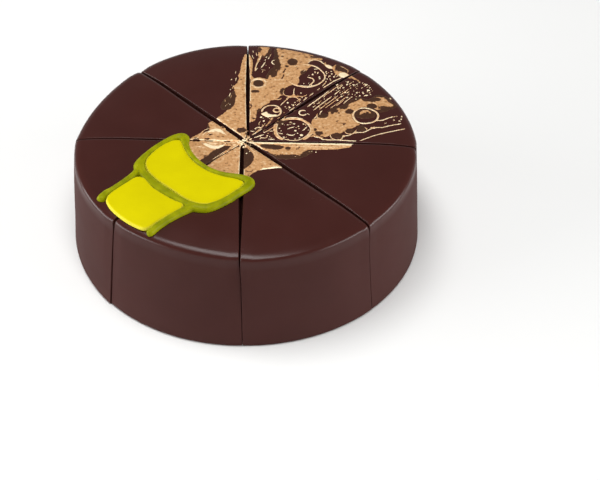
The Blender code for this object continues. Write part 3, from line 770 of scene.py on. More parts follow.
def print_on_slice(number, material):
    """The print on one slice: a thin closed slab that follows the glaze under it."""
    span = np.arange(*PRINT_SPAN, PRINT_CELL)
    x, y = np.meshgrid(span, span, indexing="ij")
    reach = slice_reach(number, x, y) - PRINT_MARGIN
    near = (reach > -2 * PRINT_CELL) & (np.hypot(x, y) < RIM_RADIUS - WORK_RIM_GAP)
    rows, columns = np.nonzero(near)
    work = np.s_[rows.min():rows.max() + 1, columns.min():columns.max() + 1]
    x, y, reach = x[work], y[work], reach[work]
    cover, tone = print_cover(x, y)
    inset = np.minimum(np.minimum(cover, reach), RIM_RADIUS - PRINT_RIM_GAP - np.hypot(x, y))
    kept = print_cells(inset)
    x, y = onto_edge(x, y, inset)
    used = np.zeros(inset.shape, bool)
    for down in (0, 1):
        for right in (0, 1):
            used[down:down + kept.shape[0], right:right + kept.shape[1]] |= kept
    index = np.full(inset.shape, -1)
    index[used] = np.arange(used.sum())
    corners = np.stack((index[:-1, :-1][kept], index[1:, :-1][kept], index[1:, 1:][kept],
                        index[:-1, 1:][kept]), 1)
    # Along each cut the print is paler in a narrow band.
    pale_by_cut = smooth_step(1.2 - reach / PALE_CUT_BAND) * smooth_step((tone - 0.3) / 0.15)
    tone = np.clip(tone + 0.45 * pale_by_cut * (0.6 + 0.6 * ripple(x, y, 6.0, 31.0)), 0.0, 1.0)
    ground = ground_under(x[used], y[used])
    rise = smooth_step(np.maximum(inset, 0.0) / PRINT_EDGE)
    rise = 0.04 + PRINT_THICKNESS * rise * (0.7 + 0.6 * tone)
    rise += PRINT_GRAIN * (ripple(x, y, 0.9, 11.0) + ripple(x, y, 2.6, 13.0)) * (inset > 0.3)
    rise = np.maximum(rise[used], THINNEST_RISE)
    flat = np.stack((x[used], y[used]), 1)
    mesh = closed_slab(f"gold_print_{number + 1}", np.column_stack((flat, ground + rise)),
                       np.column_stack((flat, ground - PRINT_SUNK)), corners)
    tones = mesh.attributes.new("tone", "FLOAT", "POINT")
    tones.data.foreach_set("value", np.tile(tone[used], 2))
    mesh.materials.append(material)
    mesh.shade_smooth()
    return new_piece(mesh.name, mesh)


def gold_material():
    """Gold-coloured cocoa butter: a matt metal sheen, finely grained, smoky where it is thin."""
    made, nodes, links, shader = finish_material("gold_print", 0.42, 0.25)
    place = nodes.new("ShaderNodeAttribute")
    place.attribute_name = "tone"
    speckle = value_range(nodes, links, noise(nodes, links, 480.0, 3.0), -0.42, 0.42)
    mixed = nodes.new("ShaderNodeMath")
    links.new(place.outputs["Fac"], mixed.inputs[0])
    links.new(speckle, mixed.inputs[1])
    # the ramp's cream end also gives the painted highlights on the raised print
    colour = colour_ramp(nodes, links, mixed.outputs["Value"],
                         ((0.10, GOLD_SMOKY), (0.32, GOLD_BROWN), (0.40, GOLD_DEEP),
                          (0.54, GOLD_TAN), (0.95, GOLD_CREAM_AND_HIGHLIGHT)))
    links.new(colour, shader.inputs["Base Color"])
    shader.inputs["Metallic"].default_value = 0.25
    uneven_gloss(nodes, links, shader, 700.0, 0.34, 0.54)
    bump(nodes, links, shader, noise(nodes, links, 620.0, 3.0), 0.00018)
    return made


glaze_surface = top_surface()
gold_print = gold_material()
for number in range(len(CUTS)):
    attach(print_on_slice(number, gold_print), "root")


# ---- Print lines ----------------------------------------------------------------------
# The finest strokes of the same print: the skins of the bubbles, streaks of fizz that run
# out from the middle and threads along the cuts, each a low raised line of cocoa butter,
# paler than the fields: partly the print's own paler tone and partly painted highlight on its
# raised edges.

LINE_HEIGHT = 0.42
LINE_SECTION = 10
LINE_STEP = 0.8                         # mm between two stations of a line
LINE_CLEAR = 0.30                       # a line stops this far from a cut
LINE_RIM_GAP = 3                        # and from the rim
LINE_SUNK = 0.08
LINE_TAPER = 1.6
LINE_TIP = 0.3                          # share of its width left at an open end
STREAK_FINENESS = 0.76
STREAK_WAVE = 0.14
STREAK_SWELL = 0.25
RING_SWELL = 0.18

# Bubbles: (x, y, radius, half width, from and to in degrees, tone).
# painted highlight: the line tones, paler than the fields, stand partly for light on the raised
# lines, and the extra paler arcs over the tops and bottoms of some bubbles are painted highlights
BUBBLES = (
    (6.4, 67.6, 5.3, 1.15, 0, 360, 0.74), (40.5, 77.3, 13.6, 0.62, -150, 108, 0.72),
    (40.5, 77.3, 13.3, 0.95, -112, -62, 0.84), (40.5, 77.3, 13.6, 0.35, 108, 205, 0.62),
    (16.7, 35.0, 6.7, 0.62, -70, 190, 0.72), (32.3, 14.0, 12.9, 1.30, 0, 360, 0.60),
    (32.3, 14.0, 13.9, 0.45, 60, 112, 0.92), (32.3, 14.0, 11.9, 0.35, 150, 395, 0.74),
    (83.3, 31.0, 8.9, 0.66, 0, 360, 0.72), (83.3, 31.0, 8.9, 0.80, 60, 120, 0.86),
    (83.3, 31.0, 8.9, 0.85, 240, 300, 0.90), (39.0, 33.5, 2.8, 0.55, 50, 330, 0.82),
    (29.0, 57.0, 4.5, 0.34, 150, 290, 0.56), (37.6, 57.0, 4.6, 0.34, 230, 330, 0.58),
    (31.2, 46.8, 5.0, 0.42, -10, 150, 0.62), (20.6, 51.6, 3.2, 0.34, 200, 330, 0.60),
    (47.2, 92.6, 5.4, 0.42, 20, 165, 0.76), (18.4, 93.5, 3.0, 0.46, 110, 250, 0.86),
    (53.0, 30.6, 4.2, 0.32, 150, 330, 0.62), (63.2, 8.2, 4.8, 0.36, 170, 330, 0.62),
    (72.2, 13.4, 3.6, 0.34, 180, 350, 0.62), (88.0, 42.5, 4.0, 0.34, 20, 160, 0.62),
    (-22.3, 3.0, 9.2, 0.46, 30, 160, 0.86), (-22.3, 3.0, 9.4, 0.42, 205, 335, 0.84),
    (-22.3, 3.0, 6.4, 0.34, 60, 150, 0.72), (-22.3, 3.0, 6.2, 0.36, 215, 300, 0.80),
    (-22.3, 3.0, 11.8, 0.30, 100, 170, 0.66), (-33.0, 4.6, 2.6, 0.36, 190, 340, 0.80),
    (20.4, 36.2, 2.3, 0.62, 0, 360, 0.66), (8.4, 12.6, 3.6, 0.42, 40, 150, 0.80),
    (12.0, 7.2, 2.8, 0.36, 200, 350, 0.76),
)
# Streaks: (half width, tone, places along it).
# painted highlight: the streaks' paler tones stand partly for light on their raised edges
STREAKS = (
    (0.45, 0.80, (-10.6, 81.5), (-10.9, 78.8)), (0.45, 0.75, (-9.9, 74.0), (-10.4, 70.2)),
    (0.55, 0.85, (-13.4, 55.6), (-14.2, 51.0)), (0.36, 0.62, (-17.0, 47.6), (-16.6, 45.4)),
    (0.32, 0.60, (-12.4, 53.2), (-13.2, 49.6)), (0.40, 0.62, (-11.4, 64.6), (-12.6, 60.4)),
    (0.50, 0.72, (7.2, 101.5), (6.2, 97.0), (4.8, 92.0), (3.8, 87.5), (3.6, 83.0)),
    (0.55, 0.85, (10.6, 93.8), (9.2, 90.0), (7.4, 86.0)),
    (0.50, 0.80, (5.2, 86.0), (3.4, 82.4)), (0.55, 0.92, (11.5, 100.9), (10.8, 99.3)),
    (0.55, 0.92, (13.2, 99.2), (12.4, 97.6)), (0.50, 0.88, (10.9, 97.1), (10.2, 95.3)),
    (0.42, 0.78, (0.9, 109.0), (1.5, 105.5)), (0.42, 0.78, (0.7, 102.5), (1.3, 99.0)),
    (0.40, 0.70, (3.4, 106.0), (4.2, 101.5)), (0.36, 0.66, (14.6, 104.5), (13.6, 100.5)),
    (0.36, 0.64, (9.6, 84.0), (8.4, 80.4)),
    (0.66, 0.76, (41.5, 75.5), (44.5, 74.5), (46.3, 72.5), (46.0, 70.0), (43.0, 65.5)),
    (0.52, 0.84, (46.4, 85.3), (48.9, 86.1)), (0.52, 0.86, (53.6, 78.0), (55.6, 78.0)),
    (0.45, 0.80, (48.6, 79.6), (49.8, 82.2)), (0.50, 0.72, (38.6, 82.0), (41.0, 85.6)),
    (0.46, 0.72, (32.5, 62.4), (32.0, 57.5), (32.6, 53.2)),
    (0.46, 0.66, (28.4, 50.4), (25.6, 46.4), (22.6, 41.4)),
    (0.42, 0.80, (36.0, 49.7), (37.3, 48.1)), (0.45, 0.76, (29.3, 35.4), (32.8, 39.8)),
    (0.40, 0.78, (34.2, 41.6), (37.2, 45.4)), (0.46, 0.78, (38.8, 47.6), (41.8, 51.4)),
    (0.42, 0.76, (43.2, 53.0), (46.2, 56.8)),
    (0.56, 0.82, (53.2, 63.0), (57.0, 67.0), (60.5, 70.9), (66.4, 76.0)),
    (0.45, 0.72, (52.4, 64.8), (55.4, 70.0)), (0.45, 0.80, (55.6, 74.5), (56.5, 73.0)),
    (0.45, 0.80, (58.1, 73.1), (59.0, 71.8)), (0.40, 0.76, (49.0, 60.4), (50.8, 62.4)),
    (0.40, 0.62, (65.6, 91.0), (68.6, 88.8), (71.2, 86.0), (70.8, 83.0)),
    (0.60, 0.84, (51.2, 97.2), (53.0, 93.9), (55.4, 91.8), (58.8, 89.6)),
    (0.55, 0.74, (3.8, 7.8), (7.2, 11.2), (10.4, 14.6)),
    (0.60, 0.90, (5.4, 4.6), (8.6, 6.6), (11.8, 8.0)),
    (0.50, 0.82, (1.8, 12.2), (3.6, 11.7), (5.4, 11.4)),
    (0.42, 0.70, (15.0, 12.2), (18.8, 12.0)), (0.45, 0.86, (15.2, 3.1), (19.8, 2.9)),
    (0.34, 0.62, (12.6, 15.4), (16.4, 18.4)),
    (0.40, 0.64, (12.0, 10.2), (16.0, 14.0), (20.6, 19.0)),
    (0.36, 0.62, (5.0, 9.2), (8.6, 14.2), (12.0, 19.4)), (0.36, 0.66, (2.0, 5.2), (2.4, 9.6)),
    (0.34, 0.62, (7.6, 19.4), (9.0, 23.4)),
    (0.40, 0.70, (20.4, 22.6), (23.2, 25.0), (26.4, 27.6)),
    (0.40, 0.62, (21.0, 26.4), (24.4, 29.4)),
    (0.52, 0.86, (28.4, 14.7), (30.6, 16.3), (33.0, 17.2)),
    (0.52, 0.86, (28.2, 9.2), (30.0, 8.0), (32.4, 8.0), (33.7, 8.9)),
    (0.52, 0.82, (38.9, 13.2), (40.6, 15.2), (42.0, 17.8)),
    (0.52, 0.82, (21.8, 10.2), (25.2, 9.3)), (0.46, 0.78, (42.2, 32.7), (43.6, 31.2)),
    (0.52, 0.78, (52.7, 36.4), (51.2, 33.8), (51.0, 31.2)),
    (0.55, 0.84, (49.4, 30.4), (46.8, 27.0)),
    (0.55, 0.80, (42.0, 40.5), (46.0, 45.2), (50.0, 50.0), (57.4, 59.4)),
    (0.52, 0.76, (46.3, 36.5), (52.6, 44.4), (59.2, 52.7)),
    (0.40, 0.64, (50.4, 37.4), (56.6, 45.0), (63.6, 53.6)),
    (0.34, 0.60, (54.8, 39.4), (60.6, 46.4), (66.2, 53.0)),
    (0.38, 0.62, (58.4, 39.0), (64.4, 45.8), (69.6, 52.2)),
    (0.34, 0.60, (62.6, 42.0), (67.8, 48.4)), (0.44, 0.72, (67.6, 44.6), (73.0, 52.0)),
    (0.50, 0.82, (61.2, 55.2), (65.2, 60.2)), (0.42, 0.74, (57.8, 43.0), (59.6, 45.4)),
    (0.36, 0.62, (54.0, 53.4), (60.0, 60.6), (65.0, 66.4)),
    (0.34, 0.60, (66.4, 55.6), (71.4, 61.6)), (0.42, 0.76, (63.4, 61.8), (67.4, 66.6)),
    (0.36, 0.64, (48.8, 43.8), (52.0, 47.6)),
    (0.55, 0.78, (55.0, 3.0), (60.5, 3.2), (66.0, 4.2), (67.6, 7.4), (71.5, 8.5), (74.6, 10.9),
     (77.6, 12.0), (82.0, 12.2), (88.6, 17.2), (95.0, 18.2), (101.0, 21.0), (108.4, 24.0)),
    (0.50, 0.72, (75.8, 11.4), (76.6, 14.6)), (0.45, 0.66, (84.6, 14.4), (82.8, 17.6)),
    (0.50, 0.88, (47.0, 6.5), (52.0, 5.0), (53.4, 3.5), (62.0, 3.2), (70.0, 2.6), (76.5, 2.1)),
    (0.46, 0.78, (79.0, 2.5), (85.0, 6.2), (92.0, 10.0), (101.5, 14.2), (111.0, 18.4)),
    (0.60, 0.78, (90.0, 25.5), (93.0, 25.9), (96.0, 27.0), (99.6, 29.6), (103.0, 31.4)),
    (0.40, 0.74, (4.6, -3.3), (13.0, -9.6), (20.0, -16.6), (25.4, -22.6)),
    (0.45, 0.92, (3.0, -1.9), (22.0, -1.9), (45.0, -2.0), (71.0, -2.6)),
    (0.36, 0.80, (30.0, -4.6), (45.0, -4.4), (60.0, -4.9), (70.0, -4.4)),
    (0.32, 0.74, (40.0, -6.2), (52.0, -6.0), (62.0, -6.2)),
    (0.40, 0.80, (-28.6, 1.4), (-24.0, 0.8), (-18.0, 1.5)),
    (0.45, 0.86, (-26.0, -1.6), (-22.0, -2.2), (-18.6, -1.8)),
    (0.36, 0.74, (-31.4, 6.2), (-28.8, 10.4)), (0.40, 0.84, (-14.0, 2.2), (-8.0, 1.6)),
    (0.40, 0.84, (-13.6, -1.6), (-7.6, -1.4)),
    (0.36, 0.70, (-13.0, -9.4), (-18.0, -14.8), (-22.4, -19.6)),
    (0.40, 0.80, (-39.0, 1.6), (-33.6, 4.0)),
    (0.34, 0.76, (-36.4, -6.0), (-30.0, -6.4), (-26.4, -8.8)),
    (0.34, 0.78, (-12.6, 15.2), (-20.4, 22.6)), (0.36, 0.80, (-3.2, 5.8), (-3.0, 9.4)),
    (0.42, 0.90, (-2.0, -4.4), (-2.6, -7.4)),
    (0.40, 0.82, (2.0, -5.0), (4.4, -8.6), (7.8, -12.0)),
)


def bubble_path(x, y, radius, half, start, end, tone):
    """A ring or an arc of a bubble, a little uneven, with thin ends unless it closes."""
    steps = max(5, round(math.radians(end - start) * radius / LINE_STEP))
    whole = end - start >= 360
    turns = np.radians(np.linspace(start, end, steps + 1))
    turns = turns[:-1] if whole else turns
    wobble = 1 + 0.02 * np.sin(3 * turns + x) + 0.015 * np.sin(5 * turns + y)
    width = half * (1 + RING_SWELL * np.sin(2 * turns + x + y))
    ring = (x + radius * wobble * np.cos(turns), y + radius * wobble * np.sin(turns),
            width, np.full(len(turns), tone))
    return np.column_stack(ring), whole


def streak_path(half, tone, *places):
    """A streak through its places, waved a little, at even steps."""
    path = smooth_path(places, 24, False)
    far = np.concatenate(((0.0,), np.cumsum(np.hypot(*np.diff(path, axis=0).T))))
    at = np.linspace(0.0, far[-1], max(4, round(far[-1] / LINE_STEP)) + 1)
    x, y = np.interp(at, far, path[:, 0]), np.interp(at, far, path[:, 1])
    x, y = x + STREAK_WAVE * ripple(x, y, 2.2, 21.0), y + STREAK_WAVE * ripple(x, y, 2.2, 23.0)
    width = STREAK_FINENESS * half * (1 + STREAK_SWELL * ripple(x, y, 1.8, 25.0))
    return np.column_stack((x, y, width, np.full(len(x), tone))), False


def split_at_cuts(path, whole):
    """The stretches of a path that lie on one slice each, thin at their open ends."""
    owner = np.full(len(path), -1)
    for number in range(len(CUTS)):
        owner[slice_reach(number, path[:, 0], path[:, 1]) > LINE_CLEAR + path[:, 2]] = number
    owner[np.hypot(path[:, 0], path[:, 1]) > RIM_RADIUS - LINE_RIM_GAP] = -1
    if whole and (owner == owner[0]).all():
        return [(path, True)] if owner[0] >= 0 else []
    if whole:
        first = int(np.nonzero(owner != np.roll(owner, 1))[0][0])
        path, owner = np.roll(path, -first, 0), np.roll(owner, -first)
    runs, start = [], 0
    for step in range(1, len(path) + 1):
        if step == len(path) or owner[step] != owner[start]:
            run = path[start:step].copy()
            if owner[start] >= 0 and len(run) > 2:
                away = np.minimum(np.arange(len(run)), np.arange(len(run))[::-1]) * LINE_STEP
                run[:, 2] *= LINE_TIP + (1 - LINE_TIP) * smooth_step(away / LINE_TAPER)
                runs.append((run, False))
            start = step
    return runs


def add_node(tree, kind, inputs=None, **settings):
    """A node with its settings made and its inputs set or linked."""
    made = tree.nodes.new(kind)
    for name, value in settings.items():
        setattr(made, name, value)
    for name, value in (inputs or {}).items():
        if isinstance(value, bpy.types.NodeSocket):
            tree.links.new(value, made.inputs[name])
        else:
            made.inputs[name].default_value = value
    return made


def bead_tree():
    """Geometry nodes that sweep a half-round bead along every path of the mesh they are on."""
    tree = bpy.data.node_groups.new("piped_bead", "GeometryNodeTree")
    face = tree.interface
    face.new_socket("Paths", in_out="INPUT", socket_type="NodeSocketGeometry")
    for name, kind in (("Height", "NodeSocketFloat"), ("Section steps", "NodeSocketInt"),
                       ("Material", "NodeSocketMaterial")):
        face.new_socket(name, in_out="INPUT", socket_type=kind)
    face.new_socket("Beads", in_out="OUTPUT", socket_type="NodeSocketGeometry")
    given = tree.nodes.new("NodeGroupInput").outputs
    half_width = add_node(tree, "GeometryNodeInputNamedAttribute", {"Name": "half_width"})
    width = half_width.outputs["Attribute"]
    circle = add_node(tree, "GeometryNodeCurvePrimitiveCircle",
                      {"Resolution": given["Section steps"], "Radius": 1.0})
    around = add_node(tree, "ShaderNodeSeparateXYZ",
                      {"Vector": add_node(tree, "GeometryNodeInputPosition").outputs["Position"]})
    over = add_node(tree, "ShaderNodeMath", {0: around.outputs["Y"], 1: 0.0}, operation="MINIMUM")
    flat = add_node(tree, "ShaderNodeCombineXYZ", {"X": around.outputs["X"], "Y": over.outputs[0]})
    section = add_node(tree, "GeometryNodeSetPosition",
                       {"Geometry": circle.outputs["Curve"], "Position": flat.outputs["Vector"]})
    paths = add_node(tree, "GeometryNodeMeshToCurve", {"Mesh": given["Paths"]})
    upright = add_node(tree, "GeometryNodeSetCurveNormal", {"Curve": paths.outputs["Curve"]},
                       mode="Z_UP")
    swept = add_node(tree, "GeometryNodeCurveToMesh",
                     {"Curve": upright.outputs["Curve"],
                      "Profile Curve": section.outputs["Geometry"],
                      "Scale": width, "Fill Caps": True})
    place = add_node(tree, "ShaderNodeSeparateXYZ",
                     {"Vector": add_node(tree, "GeometryNodeInputPosition").outputs["Position"]})
    share = add_node(tree, "ShaderNodeMath", {0: place.outputs["Z"], 1: width}, operation="DIVIDE")
    rise = add_node(tree, "ShaderNodeMath", {0: share.outputs[0], 1: given["Height"]},
                    operation="MULTIPLY")
    raised = add_node(tree, "ShaderNodeCombineXYZ",
                      {"X": place.outputs["X"], "Y": place.outputs["Y"], "Z": rise.outputs[0]})
    shaped = add_node(tree, "GeometryNodeSetPosition",
                      {"Geometry": swept.outputs["Mesh"], "Position": raised.outputs["Vector"]})
    whole = add_node(tree, "GeometryNodeRealizeInstances",
                     {"Geometry": shaped.outputs["Geometry"]})
    coated = add_node(tree, "GeometryNodeSetMaterial",
                      {"Geometry": whole.outputs["Geometry"], "Material": given["Material"]})
    add_node(tree, "NodeGroupOutput", {"Beads": coated.outputs["Geometry"]})
    return tree


bead_nodes = bead_tree()


def nodes_on(piece, tree, inputs):
    """Put a geometry nodes modifier on a piece and set its inputs, given by name."""
    modifier = piece.modifiers.new(tree.name, "NODES")
    modifier.node_group = tree
    sockets = {item.name: item.identifier for item in tree.interface.items_tree
               if item.in_out == "INPUT"}
    for name, value in inputs.items():
        modifier[sockets[name]] = value


def make_plain(piece):
    """Turn what a piece's modifiers make into its own plain mesh."""
    evaluated = piece.evaluated_get(bpy.context.evaluated_depsgraph_get())
    made = bpy.data.meshes.new_from_object(evaluated)
    piece.modifiers.clear()
    piece.data = made
    made.name = piece.name
    made.shade_smooth()


def piped(name, paths, height, section_steps, material, fuse=None):
    """Beads along the paths, pairs of ((x, y, half width, tone), closed), as one mesh.

    fuse, where it is given, is the mesh size that melts them together and how often the
    result is smoothed.
    """
    places, edges, widths, tones = [], [], [], []
    for path, closed in paths:
        first, count = len(places), len(path)
        places += [(x * MM, y * MM, 0.0) for x, y, half, tone in path]
        widths += [half * MM for x, y, half, tone in path]
        tones += [tone for x, y, half, tone in path]
        edges += [(first + step, first + (step + 1) % count)
                  for step in range(count if closed else count - 1)]
    mesh = bpy.data.meshes.new(name + "_paths")
    mesh.from_pydata(places, edges, [])
    mesh.attributes.new("half_width", "FLOAT", "POINT").data.foreach_set("value", widths)
    mesh.attributes.new("tone", "FLOAT", "POINT").data.foreach_set("value", tones)
    piece = new_piece(name, mesh)
    nodes_on(piece, bead_nodes,
             {"Height": height * MM, "Section steps": section_steps, "Material": material})
    if fuse:
        blend = piece.modifiers.new("fuse", "REMESH")
        blend.mode = "VOXEL"
        blend.voxel_size = fuse[0] * MM
        soften = piece.modifiers.new("soften", "SMOOTH")
        soften.iterations = fuse[1]
    make_plain(piece)
    return piece


line_paths = []
for bubble in BUBBLES:
    line_paths += split_at_cuts(*bubble_path(*bubble))
for streak in STREAKS:
    line_paths += split_at_cuts(*streak_path(*streak))
print_lines = piped("print_lines", line_paths, LINE_HEIGHT, LINE_SECTION, gold_print)
lay_on(print_lines.data, ground_under, -LINE_SUNK)
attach(print_lines, "root")


# ---- Print droplets -------------------------------------------------------------------
# Spray that the print throws off: hundreds of small drops of cocoa butter, in rows along
# the streaks towards the rim and loose round the bubbles.

DROP_HEIGHT = 0.32
DROP_CLEAR = 0.35                       # drops stay this far from a cut
DROP_RIM_GAP = 3                        # and from the rim
DROP_SEGMENTS = 10
DROP_RINGS = 6
SMEAR_HEIGHT = 0.55
SMEAR_SAG = 0.35                        # over a cut, a smear hangs down no more than this
SPRAY_SEED = 7
SPRAY_ROW = 1.9                         # mm from row to row
SPRAY_STRAY = 0.15                      # a drop stands this far off its row at most
SPRAY_HALF_WIDTHS = (0.22, 0.38)
SPRAY_STRETCH = (1.0, 2.3)
SPRAY_TURN = 6
SPRAY_TONES = (0.60, 0.86)
# Drops: (x, y, half length, half width, direction in degrees, tone).
# painted highlight: the drops' paler tones stand partly for light on their raised tops
DROPS = (
    (45.5, 79.0, 0.9, 0.7, 90, 0.9), (50.3, 76.0, 0.7, 0.6, 0, 0.9),
    (50.7, 74.1, 0.6, 0.6, 0, 0.9), (47.2, 82.3, 0.6, 0.5, 0, 0.8),
    (28.0, 45.0, 0.9, 0.7, 90, 0.9), (32.0, 42.3, 0.7, 0.7, 0, 0.85),
    (29.5, 39.5, 0.7, 0.7, 0, 0.85), (37.3, 56.5, 0.6, 0.6, 0, 0.8),
    (9.5, 28.0, 0.9, 0.8, 50, 0.85), (11.5, 23.7, 1.0, 0.7, 60, 0.85),
    (59.3, 80.3, 0.8, 0.6, 50, 0.85), (61.0, 76.8, 0.8, 0.6, 50, 0.85),
    (57.5, 77.5, 0.7, 0.5, 50, 0.8), (59.0, 83.6, 0.6, 0.5, 0, 0.75),
    (55.2, 82.4, 0.6, 0.5, 0, 0.8), (36.0, 18.0, 0.6, 0.6, 0, 0.85),
    (33.0, 20.8, 0.8, 0.6, 0, 0.9), (34.0, 13.0, 0.9, 0.8, 0, 0.9),
    (38.3, 8.2, 1.2, 1.1, 0, 0.92), (24.7, 20.5, 0.7, 0.6, 40, 0.8),
    (29.0, 3.2, 0.6, 0.5, 0, 0.8), (34.0, 3.6, 0.6, 0.5, 0, 0.8), (26.0, 5.6, 0.7, 0.6, 0, 0.8),
    (37.0, 5.0, 0.6, 0.5, 0, 0.8), (39.6, 20.6, 0.7, 0.6, 0, 0.8),
    (28.4, 19.6, 0.6, 0.5, 0, 0.8), (22.7, 15.6, 0.6, 0.5, 0, 0.8),
    (30.6, 22.6, 0.6, 0.5, 0, 0.8), (35.6, 10.2, 0.5, 0.5, 0, 0.8),
    (12.2, 10.8, 0.7, 0.6, 0, 0.85), (103.3, 27.5, 0.7, 0.6, 0, 0.8),
    (107.3, 27.0, 0.7, 0.6, 0, 0.8), (108.6, 29.4, 0.7, 0.6, 70, 0.8),
    (109.0, 32.6, 0.8, 0.5, 100, 0.8), (101.4, 53.5, 0.9, 0.6, 120, 0.85),
    (67.8, 7.5, 1.2, 1.0, 60, 0.75), (76.0, 11.8, 1.4, 1.1, 20, 0.75),
    (89.0, 17.5, 1.3, 1.1, 20, 0.75), (63.3, 67.0, 1.0, 0.6, 50, 0.9),
    (67.8, 63.5, 1.0, 0.6, 50, 0.9), (70.3, 67.5, 0.9, 0.6, 60, 0.9),
    (71.2, 71.0, 0.9, 0.6, 80, 0.9), (75.3, 67.5, 0.9, 0.6, 60, 0.9),
    (84.0, 68.5, 1.1, 0.7, 80, 0.95), (85.7, 61.7, 1.2, 1.0, 20, 0.95),
    (69.0, 57.8, 0.9, 0.6, 50, 0.9), (66.4, 53.0, 0.9, 0.6, 50, 0.9),
    (63.5, 48.5, 0.9, 0.5, 50, 0.85), (70.5, 52.0, 0.9, 0.6, 50, 0.85),
    (77.5, 58.0, 0.9, 0.6, 60, 0.9), (79.5, 54.3, 0.8, 0.6, 60, 0.85),
    (84.5, 55.3, 0.9, 0.7, 30, 0.9), (82.0, 57.5, 0.8, 0.6, 60, 0.9),
    (76.7, 50.0, 0.7, 0.5, 50, 0.8), (0.4, 3.4, 1.2, 0.8, 80, 0.9),
    (-1.0, 3.0, 0.9, 0.7, 120, 0.95), (2.6, 1.4, 1.3, 0.7, 20, 0.9),
    (-3.4, 1.4, 1.3, 0.8, 160, 0.95), (-5.6, 0.2, 1.2, 0.6, 180, 0.85),
    (-2.2, -2.4, 1.1, 0.7, 60, 0.9), (0.6, -3.0, 1.0, 0.6, 100, 0.85),
    (2.2, -1.9, 1.1, 0.6, 150, 0.9), (-3.0, -1.2, 1.0, 0.6, 10, 0.85),
    (1.4, 7.2, 1.1, 0.7, 80, 0.9), (0.7, -12.8, 0.7, 0.6, 0, 0.98),
    (2.7, -10.6, 0.5, 0.4, 0, 0.8), (22.0, -9.6, 0.8, 0.5, 150, 0.85),
    (25.0, -21.0, 0.9, 0.5, 140, 0.9),
)
# Flakes pressed together where the slices' tips meet, and smears that still bridge a cut.
SMEARS = (
    (-2.0, 2.0, 1.5, 0.9, 130, 0.95), (-0.6, 1.7, 1.2, 0.8, 20, 0.98),
    (-3.8, 0.4, 1.4, 0.8, 150, 0.92), (0.1, 3.7, 1.3, 0.9, 60, 0.72),
    (1.4, 4.6, 1.5, 0.7, 50, 0.62), (0.8, 6.4, 1.1, 0.9, 90, 0.42),
    (-2.4, -0.8, 1.2, 0.8, 40, 0.80), (-5.2, -1.4, 1.5, 0.8, 165, 0.90),
    (-3.0, -3.0, 1.0, 0.9, 80, 0.92), (-8.4, -3.6, 1.6, 1.0, 200, 0.72),
    (-4.8, -2.9, 1.2, 0.8, 10, 0.66), (-1.6, -5.4, 1.1, 0.9, 90, 0.80),
    (-0.2, -4.2, 1.3, 0.6, 120, 0.70), (1.0, 0.4, 1.2, 0.7, 150, 0.60),
    (2.8, 3.0, 1.4, 0.6, 45, 0.66), (-6.6, 0.2, 1.5, 0.7, 178, 0.70),
    (-1.2, -2.2, 0.9, 0.8, 0, 0.62), (3.6, 1.0, 1.6, 0.5, 8, 0.84),
    (-0.5, 9.0, 1.3, 0.8, 92, 0.24), (0.3, 12.0, 1.1, 0.8, 92, 0.28),
    (1.4, 40.6, 1.4, 0.8, 92, 0.40), (1.2, 45.0, 1.6, 0.6, 92, 0.50),
    (0.2, 70.0, 3.2, 0.5, 92, 0.12), (-0.6, 82.0, 3.0, 0.5, 92, 0.12),
    (-17.4, 16.4, 1.7, 1.1, 134, 0.33), (-15.8, 14.8, 1.2, 0.6, 134, 0.44),
    (-30.4, 0.4, 2.2, 0.7, 178, 0.56), (-21.0, 0.6, 2.6, 0.6, 178, 0.66),
    (-17.2, 0.5, 1.9, 0.6, 178, 0.78), (-9.4, 0.3, 2.0, 0.6, 178, 0.60),
    (-11.2, -8.8, 1.9, 0.6, 222, 0.46), (-14.0, -11.6, 1.6, 0.5, 222, 0.40),
    (12.2, 13.6, 1.8, 0.4, 47, 0.32), (20.6, 22.6, 2.2, 0.5, 47, 0.34),
    (27.0, 29.6, 1.9, 0.5, 47, 0.30), (33.2, 36.0, 1.7, 0.4, 47, 0.24),
)
# Sprays: (how many, the direction of its rows in degrees, and the outline that it fills).
SPRAYS = (
    (84, 50.0,
     ((57.0, 60.0), (64.0, 55.6), (72.0, 52.0), (78.0, 51.6), (88.0, 56.6), (89.0, 61.0),
      (85.6, 69.0), (80.0, 71.4), (74.0, 72.0), (68.0, 72.4), (60.0, 65.0))),
    (20, 50.0, ((45.0, 40.0), (52.0, 40.0), (66.0, 54.0), (60.0, 60.0), (50.0, 50.0))),
    (18, 52.0,
     ((50.0, 61.6), (56.0, 70.0), (64.0, 76.0), (60.0, 82.0), (55.0, 84.0), (55.0, 72.0))),
    (15, 50.0,
     ((24.0, 31.0), (34.0, 42.0), (44.0, 54.0), (36.0, 52.0), (26.0, 44.0), (24.4, 36.0))),
    (12, 40.0,
     ((22.6, 8.0), (30.0, 3.4), (40.0, 6.4), (43.6, 14.0), (38.0, 23.4), (26.0, 23.0))),
    (12, 45.0, ((3.0, 10.0), (14.0, 20.0), (20.0, 30.0), (10.0, 32.0), (3.0, 20.0))),
    (8, 20.0, ((6.0, 3.0), (18.0, 4.0), (19.0, 14.0), (14.0, 12.0))),
    (7, 80.0,
     ((37.0, 66.0), (46.0, 66.0), (50.0, 76.0), (48.0, 86.0), (42.0, 80.0), (38.0, 72.0))),
    (8, 100.0, ((3.0, 84.0), (12.0, 80.0), (15.0, 98.0), (5.0, 104.0), (1.6, 104.0))),
    (8, 20.0,
     ((80.0, 13.0), (96.0, 20.0), (108.0, 26.0), (109.0, 32.0), (98.0, 34.0), (90.0, 22.0))),
    (7, 60.0,
     ((-18.0, 36.0), (-12.0, 44.0), (-11.5, 72.0), (-10.0, 84.0), (-12.6, 84.0),
      (-15.0, 56.0))),
    (6, 20.0, ((30.0, -17.0), (44.0, -12.0), (60.0, -9.0), (44.0, -10.0), (38.0, -14.4))),
)


